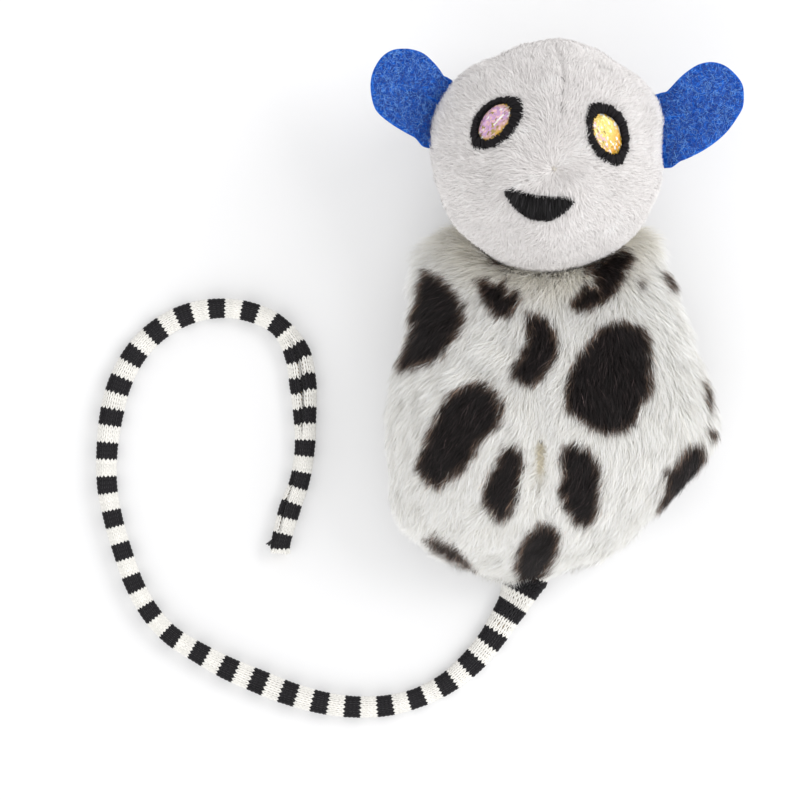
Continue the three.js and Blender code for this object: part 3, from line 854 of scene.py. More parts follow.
    def depth(self, points: Array, normals: Array) -> Array:
        """Measure how far points lie inside a spot.

        Args:
            points: Places on the coat.
            normals: Outward directions there.

        Returns:
            Metres inside a spot, or below 0 outside them.
        """
        back = np.full(len(points), -1.0)
        for x, y, width, length, lean in self.back_ovals_mm:
            turn = math.radians(lean)
            away = points[:, :2] - np.array([x, y]) * MM
            across = away[:, 0] * math.cos(turn) - away[:, 1] * math.sin(turn)
            along = away[:, 0] * math.sin(turn) + away[:, 1] * math.cos(turn)
            ring = np.hypot(across / (width * MM), along / (length * MM))
            back = np.maximum(back, (1 - ring) * min(width, length) * MM)
        below = normals[:, 2] < -0.6 + 0.1 * Ripple(6 * MM, 5).at(points)
        return np.where(below, back, self.charted(self.studio.on_floor(points)))

    @staticmethod
    def inside(plan: Array, outline: Array) -> Array:
        """Return the distance inside one closed outline, below 0 outside it.

        Args:
            plan: Places in the plan.
            outline: Corners of the outline.

        Returns:
            Signed distances.
        """
        nearest = np.full(len(plan), np.inf)
        within = np.zeros(len(plan), bool)
        for start, end in zip(outline, np.roll(outline, -1, axis=0)):
            edge = end - start
            share = np.clip(((plan - start) @ edge) / (edge @ edge), 0, 1)
            nearest = np.minimum(nearest, np.linalg.norm(plan - start - share[:, None] * edge, axis=1))
            crosses = (start[1] > plan[:, 1]) != (end[1] > plan[:, 1])
            slope = (plan[:, 1] - start[1]) * edge[0] / (edge[1] if edge[1] else 1e-12) + start[0]
            within ^= crosses & (plan[:, 0] < slope)
        return np.where(within, nearest, -nearest)

    def tints(self, lines: Array, normals: Array, seed: int) -> Array:
        """Colour strands along their length by where they lie.

        Args:
            lines: Centre lines, as strands by points by 3.
            normals: Outward direction at each strand.
            seed: Seed of the random draws.

        Returns:
            Linear colours, as strands by points by 3.
        """
        rng = np.random.default_rng(seed)
        count, steps = lines.shape[:2]
        middle = lines.mean(axis=1, keepdims=True)
        places = (0.7 * lines + 0.3 * middle).reshape(-1, 3)
        depth = self.depth(places, np.repeat(normals, steps, axis=0)).reshape(count, steps, 1)
        depth += self.grown + rng.normal(0, self.edge * 0.5, (count, 1, 1))
        depth += 0.3 * MM * Ripple(2.2 * MM, 6).at(middle)[..., None]
        dark = smooth_step(-0.4 * self.edge, 0.4 * self.edge, depth)
        core = smooth_step(0, 2.2 * self.edge, depth)
        spot = np.array(self.brown) * (1 - core) + np.array(self.black) * core
        # Spot strands vary in tone; the few made five times lighter are partly real brownish hairs, partly
        # painted sheen.
        spot = spot * rng.lognormal(0, 0.6, (count, 1, 1)) * np.where(rng.random((count, 1, 1)) < 0.07, 5, 1)
        t = np.linspace(0, 1, steps)[None, :, None]
        # Each white strand darkens from tip to root: painted shade deep in the pile.
        plain = np.array(self.shaded_white) * (1 - t) + np.array(self.white) * t
        plain = np.minimum(plain * rng.uniform(0.92, 1.06, (count, 1, 1)), 0.985)
        return np.minimum(plain * (1 - dark) + spot * dark, 0.96)


@dataclass
class Head:
    """Plush head: a stuffed ball with a muzzle, two stitched eyes, a stitched nose and a pinched bridge."""

    radius: float = 0.0248
    plush: float = 0.0022
    muzzle_rise: float = 0.0032
    muzzle_spread: float = math.radians(38)
    muzzle_place: Pair = (-0.0006, -0.0115)
    bridge_dip: float = 0.001
    bridge_spread: float = math.radians(13)
    bridge_place: Pair = (0.001, -0.0041)
    outline_shares: tuple[float, ...] = (
        -0.004, -0.02, 0.02, 0.03, -0.01, 0.02, 0.008, -0.03, -0.045, -0.01, 0.015, 0,
        0.005, -0.005, -0.009, -0.004, -0.01, 0, 0, -0.008, -0.012, 0, 0, -0.001)
    pile_shares: tuple[float, ...] = (
        -0.004, 0.004, 0.041, 0.031, 0, 0.021, 0.01, -0.015, -0.018, 0.01, 0.045, 0.048,
        0.017, -0.005, -0.009, -0.002, -0.014, 0, 0, -0.012, -0.016, 0, 0, -0.001)
    seam_place: float = 0.95 * MM
    seam_lean: float = 2.1 * MM
    seam_depth: float = 0.08 * MM
    seam_width: float = 0.8 * MM
    backing_depth: float = 0.9 * MM
    bed_depth: float = 1.2 * MM
    pinch_place: Pair = (0.0008, -0.004)
    pinch_depth: float = 0.4 * MM
    pinch_spread: float = math.radians(5)
    lump: float = 0.00022
    pile: Pile = Pile(length=2.1 * MM, width=0.1 * MM, rise_share=0.34, steps=3, clump_size=0.9 * MM,
                      clump_pull=0.25, seed=41, stray=0.4, ruffle=0.45, rise_spread=0.6)
    strands: int = 170000
    colour: Triple = srgb(247, 244, 243)
    brightest: float = 0.96
    centre: Array = field(init=False)
    turn: Array = field(init=False)

    def __post_init__(self) -> None:
        """Take the head's centre and tilt from its nodding joint."""
        joint = joint_named("head_nod")
        self.centre = np.array(joint["pos_m"])
        across = unit(np.array(joint["axis"]))
        up = np.array([-across[1], across[0], 0.0])
        self.turn = np.stack([across, up, UP])

    def place(self, points: Array) -> Array:
        """Take points from the head's own frame to the toy's."""
        return points @ self.turn + self.centre

    def turned(self, vectors: Array) -> Array:
        """Take directions from the head's own frame to the toy's."""
        return vectors @ self.turn

    def face_direction(self, x: float, y: float) -> Array:
        """Return the direction from the centre to a place on the face."""
        return unit(np.array([x, y, math.sqrt(self.radius**2 - x * x - y * y)]))

    def bump(self, units: Array, place: Pair, spread: float) -> Array:
        """Return the height, up to 1, of a round bump of some spread as an angle over a place on the face."""
        angle = np.arccos(np.clip(units @ self.face_direction(*place), -1, 1))
        return np.clip(1 - (angle / spread) ** 2, 0, 1) ** 2

    def reach(self, units: Array) -> Array:
        """Return the distance from the centre to the plush in each direction."""
        muzzle = self.muzzle_rise * self.bump(units, self.muzzle_place, self.muzzle_spread)
        bridge = self.bridge_dip * self.bump(units, self.bridge_place, self.bridge_spread)
        return self.radius * (1 + self.share_at(units, self.outline_shares)) + muzzle - bridge

    @staticmethod
    def share_at(units: Array, shares: tuple[float, ...]) -> Array:
        """Read a row of shares smoothly round the face, fading out towards its middle.

        Args:
            units: Directions.
            shares: Values at even steps round from the right side.

        Returns:
            The values there.
        """
        values = np.array(shares)
        place = np.mod(np.arctan2(units[..., 1], units[..., 0]) / (2 * math.pi), 1) * len(values)
        first = np.floor(place).astype(int)
        t = place - first
        a, b, c, d = (values[(first + step) % len(values)] for step in (-1, 0, 1, 2))
        curve = b + t * (c - a + t * (2 * a - 5 * b + 4 * c - d + t * (3 * b - a - 3 * c + d))) / 2
        return curve * (1 - units[..., 2] ** 2)

    def swell(self, units: Array) -> Array:
        """Return how far the pile stands out, with a slit where each ear is sewn in."""
        extra = self.share_at(units, self.pile_shares) - self.share_at(units, self.outline_shares)
        slit = smooth_step(0.014, 0.028, extra) * (1 - smooth_step(0.02, 0.1, np.abs(units[..., 2])))
        return self.radius * extra * (1 - slit)

    def relief(self, units: Array) -> Array:
        """Return how far the plush is drawn in by its seam, its pinch and the stuffing's lumps."""
        lump = self.lump * Ripple(0.5, 12).at(units) * smooth_step(-0.9, -0.2, units[..., 1])
        pinch = self.pinch_depth * self.bump(units, self.pinch_place, self.pinch_spread)
        return lump + pinch + self.seam_depth * self.near_seam(units)

    def seam_across(self, up: Array) -> Array:
        """Return how far across the forehead seam lies at heights up the face."""
        return self.seam_place - self.seam_lean * smooth_step(15.5 * MM, 23.5 * MM, up)

    def seam_offset(self, units: Array) -> Array:
        """Return the distance of directions from the forehead seam, signed to the right."""
        return units[..., 0] * self.radius - self.seam_across(units[..., 1] * self.radius)

    def near_seam(self, units: Array) -> Array:
        """Return 1 on the forehead seam, falling to 0 beside it and below the brow."""
        y = units[..., 1] * self.radius
        brow = smooth_step(0.002, 0.008, y) * smooth_step(0.3, 0.65, units[..., 2])
        return np.exp(-((self.seam_offset(units) / self.seam_width) ** 2)) * brow

    def surface(self, rows: int, columns: int) -> Surface:
        """Return the plush's outer surface in the head's own frame."""
        polar = np.linspace(0.002, math.pi - 0.002, rows)[:, None]
        around = np.linspace(0, 2 * math.pi, columns, endpoint=False)[None]
        units = np.stack(np.broadcast_arrays(np.sin(polar) * np.cos(around), np.sin(polar) * np.sin(around),
                                             np.cos(polar)), axis=-1)
        points = units * (self.reach(units) - self.relief(units) + self.swell(units))[..., None]
        return Surface.of(points, np.zeros(3))

    def on_face(self, frame_axes: Array, plan: Array, outside: Array | float) -> Array:
        """Drop points of a face outline onto the plush.

        Args:
            frame_axes: Rows of the outline's across, up and outward directions.
            plan: Places across and up in the outline's plane.
            outside: Distance outside the plush.

        Returns:
            Points in the head's own frame.
        """
        flat = plan @ frame_axes[:2]
        size = (plan**2).sum(axis=-1)
        reach = np.full(plan.shape[:-1], self.radius)
        for _ in range(4):
            depth = np.sqrt(np.maximum(reach**2 - size, 0))
            points = flat + depth[..., None] * frame_axes[2]
            reach = self.reach(unit(points)) + outside
        return points

    def face_axes(self, x: float, y: float, turn: float) -> Array:
        """Return the across, up and outward directions of an outline on the face."""
        out = self.face_direction(x, y)
        up = unit(np.array([0.0, 1.0, 0.0]) - out * out[1])
        across = np.cross(up, out)
        cosine, sine = math.cos(turn), math.sin(turn)
        return np.stack([across * cosine + up * sine, up * cosine - across * sine, out])

    def build(self, eyes: list["Eye"], nose: "Nose") -> None:
        """Make the head's cover and pile.

        Args:
            eyes: The two eyes, whose rings stay free of pile.
            nose: The nose, which stays free of pile.
        """
        cover = self.surface(150, 220)
        free = self.free_of_pile(cover.points.reshape(-1, 3), eyes, nose, 0.0).reshape(cover.points.shape[:2])
        depth = np.where(free, self.bed_depth, self.backing_depth)
        points = self.place(cover.inset(depth).reshape(-1, 3))
        points[:, 2] = np.maximum(points[:, 2], 0.4 * MM)
        tint = np.tile(np.array(self.colour) * 0.97, (len(points), 1))
        skin = add_piece("head_cover", points, cover.faces(), BackingFinish("plush_backing").build(),
                         tint, cover.chart())
        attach(skin, "head")
        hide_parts("face_left_panel", "face_right_panel", "head_back_panel")
        self.grow_pile(cover, eyes, nose)

    @staticmethod
    def free_of_pile(points: Array, eyes: list["Eye"], nose: "Nose", grown: float) -> Array:
        """Tell which points lie under the embroidery.

        Args:
            points: Places in the head's own frame.
            eyes: The two eyes.
            nose: The nose.
            grown: Distance by which the outlines are grown.

        Returns:
            True where a point lies inside an outline.
        """
        found = np.zeros(len(points), bool)
        for patch in (*eyes, nose):
            found |= patch.covers(points, grown)
        return found

    def flow(self, points: Array) -> Array:
        """Return the combed direction of the plush: away from the pinched bridge, and off the seam."""
        pinch = self.face_direction(*self.pinch_place)
        away = points - dot(points, pinch[None]) * pinch
        units = unit(points)
        off_seam = np.sign(self.seam_offset(units)) * self.near_seam(units)
        away = unit(away) + off_seam[:, None] * np.array([0.6, 0.0, 0.0])
        swirl = Ripple(9 * MM, 15).at(points)[:, None]
        return away + 0.3 * swirl * np.cross(units, unit(away))

    def grow_pile(self, cover: Surface, eyes: list["Eye"], nose: "Nose") -> None:
        """Grow the plush in two pieces, over the face and over the back.

        Args:
            cover: Outer surface of the plush.
            eyes: The two eyes.
            nose: The nose.
        """
        inner = Surface(cover.inset(self.backing_depth), cover.normals)
        roots, normals = inner.scatter(self.strands, self.pile.seed)
        kept = ~self.free_of_pile(roots, eyes, nose, -0.25 * MM)
        kept &= self.place(roots)[:, 2] > 0.5 * MM
        roots, normals = roots[kept], normals[kept]
        units = unit(roots)
        rng = np.random.default_rng(self.pile.seed + 9)
        stretch = rng.uniform(0.75, 1.1, len(roots)) * (1 - 0.35 * self.near_seam(units))
        stretch *= 1 + 0.06 * Ripple(2.5 * MM, 17).at(roots)
        lines = self.pile.grow(roots, normals, self.flow(roots), stretch)
        over = self.free_of_pile(lines[:, -1], eyes, nose, -0.8 * MM)
        lines[over] = lines[over, :1] + 0.45 * (lines[over] - lines[over, :1])
        lines = self.place(lines)
        lines[..., 2] = np.maximum(lines[..., 2], 0.25 * MM)
        cloud = 0.015 * Ripple(7 * MM, 18).at(roots) + 0.015 * Ripple(2.4 * MM, 19).at(roots)
        shade = rng.uniform(0.9, 1.03, (len(roots), 1)) * (1 + cloud[:, None])
        # The pile is darkened by up to 5% along the forehead seam: painted shade in the seam.
        shade *= 1 - 0.05 * self.near_seam(units)[:, None]
        tints = np.tile(np.array(self.colour), (len(roots), self.pile.steps + 1, 1))
        tints = np.minimum(tints * shade[:, None], self.brightest)
        material = PileFinish("plush_pile").build()
        for name, part in (("head_pile_face", roots[:, 2] >= 0), ("head_pile_back", roots[:, 2] < 0)):
            made = self.pile.ribbons(lines[part], self.turned(normals[part]), tints[part])
            pile = add_piece(name, material=material, **made)
            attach(pile, "head")


class Side(Enum):
    """Side of the toy, as the viewer sees it."""

    LEFT = -1
    RIGHT = 1

    @property
    def label(self) -> str:
        """Return the word used in names."""
        return self.name.lower()


@dataclass
class Patch:
    """Embroidered patch on the face, with an outline in its own plane."""

    head: Head
    axes: Array = field(init=False)

    def outline(self, grown: float) -> Array:
        """Return the closed outline, grown all round."""
        raise NotImplementedError

    def covers(self, points: Array, grown: float) -> Array:
        """Tell which points of the head lie over the patch.

        Args:
            points: Places in the head's own frame.
            grown: Distance by which the outline is grown.

        Returns:
            True where a point lies inside the outline.
        """
        plan = points @ self.axes[:2].T
        facing = points @ self.axes[2] > 0
        return facing & (SpottedCoat.inside(plan, self.outline(grown)) > 0)

    def sew(self, name: str, finish: str, points: Array, faces: list[Array], dark: Array) -> None:
        """Make the piece of satin stitches, each of seven six-sided rings.

        Args:
            name: Name of the piece.
            finish: Name of its finish.
            points: Places in the head's own frame.
            faces: Arrays of faces.
            dark: Colour of each stitch.
        """
        thread = YarnFinish(finish, roughness=0.6, sheen=0.0, specular=0.12)
        tint = per_point(dark, len(points) // len(dark))
        chart = cell_chart(len(dark), 6, 7)
        piece = add_piece(name, self.head.place(points), faces, thread.build(), tint, chart)
        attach(piece, "head")


def bezier(corners: list[Pair], steps: int) -> Array:
    """Return points on a cubic Bezier curve.

    Args:
        corners: Its four control points.
        steps: Number of points, without the last.

    Returns:
        Points along the curve.
    """
    t = np.linspace(0, 1, steps, endpoint=False)[:, None]
    a, b, c, d = (np.array(corner) for corner in corners)
    return a * (1 - t) ** 3 + 3 * b * t * (1 - t) ** 2 + 3 * c * t**2 * (1 - t) + d * t**3


@dataclass
class Eye(Patch):
    """Oval of iridescent film inside a ring of satin stitch."""

    side: Side = Side.LEFT
    middle: float = -0.55 * MM
    across: float = 0.01205
    up: float = 0.0048
    lean: float = math.radians(35)
    length: float = 0.014
    width: float = 0.0098
    film_length: float = 0.0098
    film_width: float = 0.0071
    film_place: Pair = (0.0, 0.0)
    outer_bulge: float = 1.0
    stitch_radius: float = 0.2 * MM
    stitches: int = 118
    film_depth: float = 0.75 * MM
    film_dome: float = 0.5 * MM
    cells: int = 420

    def __post_init__(self) -> None:
        """Stand the outline over its place on the face."""
        sign = self.side.value
        self.axes = self.head.face_axes(self.middle + sign * self.across, self.up, sign * self.lean)

    def outline(self, grown: float) -> Array:
        """Return the pointed oval of the ring, grown all round."""
        end, half = self.length / 2 + grown, self.width / 2 + grown
        wide = half * self.outer_bulge
        right = bezier([(0, end), (wide * 1.28, end * 0.82), (wide * 1.4, -end * 0.5), (0, -end)], 40)
        left = bezier([(0, -end), (-half * 1.28, -end * 0.82), (-half * 1.4, end * 0.5), (0, end)], 40)
        return np.concatenate([right, left])

    def edge(self, angles: Array) -> Array:
        """Return the places where rays from the middle at some angles meet the ring's outer edge."""
        outline = self.outline(0.0)
        bearing = np.unwrap(np.arctan2(outline[:, 1], outline[:, 0]))
        order = np.argsort(np.mod(bearing, 2 * math.pi))
        turned = np.mod(bearing, 2 * math.pi)[order]
        reach = np.hypot(*outline.T)[order]
        size = np.interp(np.mod(angles, 2 * math.pi), turned, reach, period=2 * math.pi)
        return size[:, None] * np.stack([np.cos(angles), np.sin(angles)], axis=1)

    def build(self) -> None:
        """Make the satin stitches and the film."""
        self.make_stitches()
        self.make_film()

    def make_stitches(self) -> None:
        """Lay two layers of threads across the ring."""
        rng = np.random.default_rng(60 + self.side.value)
        paths, radii = [], []
        for layer in range(2):
            angle = (np.arange(self.stitches) + 0.5 * layer + rng.normal(0, 0.22, self.stitches))
            angle = angle * 2 * math.pi / self.stitches
            outer = self.edge(angle + rng.normal(0, 0.015, self.stitches))
            inner = np.stack([np.cos(angle) * self.film_width / 2,
                              np.sin(angle) * self.film_length / 2], axis=1)
            inner = inner * rng.uniform(0.88, 1.02, (self.stitches, 1)) + self.film_place
            outer = outer * (1 + rng.uniform(-0.05, 0.05, (self.stitches, 1)))
            t = np.linspace(0, 1, 7)[None, :, None]
            plan = inner[:, None] * (1 - t) + outer[:, None] * t
            arch = np.sin(math.pi * np.linspace(0.06, 0.94, 7)) ** 0.6
            uneven = rng.normal(0, 0.05 * MM, (self.stitches, 1))
            lift = (-0.45 + 0.2 * layer) * MM + 0.42 * MM * arch[None] + uneven
            paths.append(self.head.on_face(self.axes, plan, lift))
            size = rng.uniform(0.8, 1.15, (self.stitches, 1)) * (0.4 + 0.6 * arch[None])
            radii.append(self.stitch_radius * size)
        path, radius = np.concatenate(paths), np.concatenate(radii)
        points, faces = sweep(path, radius, 6, unit(path))
        dark = rng.uniform(0.7, 1.7, (len(path), 1)) * np.array(srgb(27, 25, 27))
        self.sew(f"eye_stitches_{self.side.label}", f"satin_stitch_{self.side.label}", points, faces, dark)

    def make_film(self) -> None:
        """Crinkle the film and colour it facet by facet."""
        rng = np.random.default_rng(80 + self.side.value)
        rings, spokes = 60, 140
        share = np.linspace(0.0, 1.06, rings)[:, None]
        angle = np.linspace(0, 2 * math.pi, spokes, endpoint=False)[None]
        x = share * np.cos(angle) * self.film_width / 2
        y = share * np.sin(angle) * self.film_length / 2
        plan = np.stack([x, y], axis=-1).reshape(-1, 2)
        centres = rng.uniform(-1, 1, (self.cells, 2)) * np.array([self.film_width, self.film_length]) / 2
        stretched = np.array([1.0, 0.55])
        gap = np.linalg.norm((plan[:, None] - centres[None]) * stretched, axis=-1)
        cell = gap.argmin(axis=1)
        tilt = rng.normal(0, 0.22, (self.cells, 2))
        facet = ((plan - centres[cell]) * tilt[cell]).sum(axis=1)
        radius = np.broadcast_to(share, x.shape).ravel()
        dome = self.film_dome * (1 - np.clip(radius, 0, 1) ** 2.5)
        lift = -self.film_depth + dome + facet + 0.05 * MM * Ripple(1.6 * MM, 33).at(plan)
        points = self.head.on_face(self.axes, plan + self.film_place, lift)
        quads = grid_quads(rings, spokes)[:, [0, 3, 2, 1]]
        tint = self.film_tints(plan, radius, cell, rng)
        chart = plan / self.film_length * 0.9 + 0.5
        piece = add_piece(f"eye_foil_{self.side.label}", self.head.place(points), [quads],
                          FilmFinish(f"iridescent_film_{self.side.label}").build(), tint, chart)
        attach(piece, "head")
        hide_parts(f"eye_film_{self.side.label}")

    def film_tints(self, plan: Array, radius: Array, cell: Array, rng: np.random.Generator) -> Array:
        """Colour the film by zones: a lilac or gold field, a gold rim, pale glints and a white streak painted
        as highlights, and dark glints.

        Args:
            plan: Places on the film.
            radius: Share of the way to its edge.
            cell: Facet of each place.
            rng: Random draws.

        Returns:
            Linear colours.
        """
        # The pale colour serves only the painted glints and the white streak.
        names = {"lilac": (212, 168, 212), "rose": (240, 196, 200), "gold": (232, 186, 66),
                 "orange": (240, 168, 44), "straw": (250, 226, 130), "pale": (252, 250, 240),
                 "olive": (140, 122, 66)}
        hue = {name: np.array(srgb(*shown)) for name, shown in names.items()}
        kind = rng.random(self.cells)[cell][:, None]
        across = plan[:, :1] * self.side.value / self.film_width * 2
        up = plan[:, 1:] / self.film_length * 2
        if self.side is Side.LEFT:
            share = smooth_step(-0.85, -0.3, across + 0.25 * up)
            base = hue["gold"] * (1 - share) + hue["lilac"] * share
            base = np.where(kind < 0.25, hue["rose"], base)
            murky = (np.hypot(across + 0.3, up + 0.25) < 0.3) & (kind < 0.35)
            base = np.where(murky, hue["olive"] * 1.8, base)
            # A white streak across the left film: painted highlight.
            glint_streak = (np.abs(plan[:, :1] - 0.85 * MM) < 0.16 * MM) & (np.abs(up - 0.2) < 0.32)
            base = np.where(glint_streak, hue["pale"], base)
        else:
            share = smooth_step(-0.2, 0.8, 0.35 * across - 0.9 * up)
            base = hue["straw"] * (1 - share) + hue["orange"] * share
            base = np.where((across < -0.3) & (kind < 0.35), hue["rose"], base)
        rim = smooth_step(0.74, 0.92, radius)[:, None]
        base = base * (1 - rim) + hue["gold"] * rim
        # Pale cells scattered over the film: painted glints.
        base = np.where((kind > 0.86) & (kind < 0.93), hue["pale"], base)
        base = np.where(kind > 0.96, hue["olive"] * 1.3, base)
        return np.clip(base * rng.uniform(0.9, 1.06, (self.cells, 1))[cell], 0, 0.95)


@dataclass
class Nose(Patch):
    """Nose and mouth patch in satin stitch."""

    x: float = -0.0015
    y: float = -0.0111
    width: float = 0.0144
    height: float = 0.006
    stitch_radius: float = 0.2 * MM
    columns: int = 44
    corner_shares: tuple[Pair, ...] = (
        (-0.5, 0.36), (-0.4, 0.47), (-0.12, 0.46), (0.2, 0.46), (0.4, 0.45), (0.5, 0.32),
        (0.4, -0.05), (0.22, -0.38), (0.02, -0.48), (-0.18, -0.38), (-0.38, -0.06))

    def __post_init__(self) -> None:
        """Stand the outline over its place on the face."""
        self.axes = self.head.face_axes(self.x, self.y, 0.0)

    def outline(self, grown: float) -> Array:
        """Return the outline of the patch, grown all round."""
        size = np.array([self.width, self.height]) + 2 * grown
        return rounded(np.array(self.corner_shares), 5) * size

    def build(self) -> None:
        """Lay columns of short threads over the patch."""
        rng = np.random.default_rng(91)
        outline = self.outline(0.0)
        paths = []
        for layer in range(3):
            place = np.arange(self.columns) + 0.33 * layer + rng.normal(0, 0.12, self.columns)
            x = (place / self.columns - 0.5) * self.width * 0.99
            top, bottom = self.span(outline, x)
            bands = rng.uniform(0.0, 1.0, self.columns) if layer else np.zeros(self.columns)
            low = np.where(bands > 0, bottom + (top - bottom) * bands * 0.45, bottom)
            high = np.where(bands > 0, low + (top - bottom) * 0.55, top)
            low = np.maximum(low - rng.uniform(0, 0.35 * MM, self.columns), bottom - 0.3 * MM)
            t = np.linspace(0, 1, 7)[None]
            slant = (rng.normal(0, 0.12 * MM, (self.columns, 1)) - 0.1 * x[:, None]) * (t - 0.5)
            plan = np.stack([x[:, None] + slant, low[:, None] * (1 - t) + high[:, None] * t], axis=-1)
            arch = np.sin(math.pi * np.linspace(0.05, 0.95, 7)) ** 0.5
            uneven = rng.normal(0, 0.05 * MM, (self.columns, 1))
            lift = (-0.4 + 0.14 * layer) * MM + 0.4 * MM * arch[None] + uneven
            paths.append(self.head.on_face(self.axes, plan, lift))
        path = np.concatenate(paths)
        arch = 0.45 + 0.55 * np.sin(math.pi * np.linspace(0.05, 0.95, 7)) ** 0.5
        radius = self.stitch_radius * rng.uniform(0.85, 1.15, (len(path), 1)) * arch[None]
        points, faces = sweep(path, radius, 6, unit(path))
        # Stitches vary in tone at random; the lightest stand for glints on the thread, a painted highlight.
        dark = rng.lognormal(0.1, 0.55, (len(path), 1)) * np.array(srgb(27, 26, 27))
        self.sew("nose_stitches", "nose_satin_stitch", points, faces, dark)

    @staticmethod
    def span(outline: Array, x: Array) -> tuple[Array, Array]:
        """Return the top and bottom of the outline at each place across.

        Args:
            outline: Closed outline.
            x: Places across.

        Returns:
            Heights of the top and of the bottom.
        """
        split = int(outline[:, 0].argmax())
        start = int(outline[:, 0].argmin())
        ring = np.roll(outline, -start, axis=0)
        split = (split - start) % len(outline)
        top, bottom = ring[: split + 1], np.vstack([ring[split:], ring[:1]])[::-1]
        return np.interp(x, top[:, 0], top[:, 1]), np.interp(x, bottom[:, 0], bottom[:, 1])


def rounded(corners: Array, steps: int) -> Array:
    """Pass a smooth closed curve through points.

    Args:
        corners: Points of the closed curve.
        steps: Points made for each span.

    Returns:
        Points along the curve.
    """
    t = np.linspace(0, 1, steps, endpoint=False)[None, :, None]
    before, start, end, beyond = (np.roll(corners, shift, axis=0)[:, None] for shift in (1, 0, -1, -2))
    return spline(before, start, end, beyond, t).reshape(-1, corners.shape[1])


LEFT_EAR_SHARES = (
    (0, 0.39), (0.13, 0.49), (0.28, 0.58), (0.44, 0.65), (0.57, 0.67), (0.71, 0.65), (0.86, 0.58),
    (0.96, 0.45), (1, 0.29), (1, 0.14), (0.96, 0), (0.88, -0.15), (0.78, -0.25), (0.62, -0.32),
    (0.43, -0.37), (0.24, -0.4), (0, -0.42))
RIGHT_EAR_SHARES = (
    (0, 0.37), (0.14, 0.47), (0.32, 0.61), (0.48, 0.7), (0.6, 0.73), (0.72, 0.72), (0.84, 0.66), (0.94, 0.55),
    (1, 0.43), (1, 0.3), (0.97, 0.17), (0.9, 0.07), (0.77, -0.07), (0.64, -0.17), (0.5, -0.25), (0.36, -0.31),
    (0.19, -0.36), (0, -0.37))


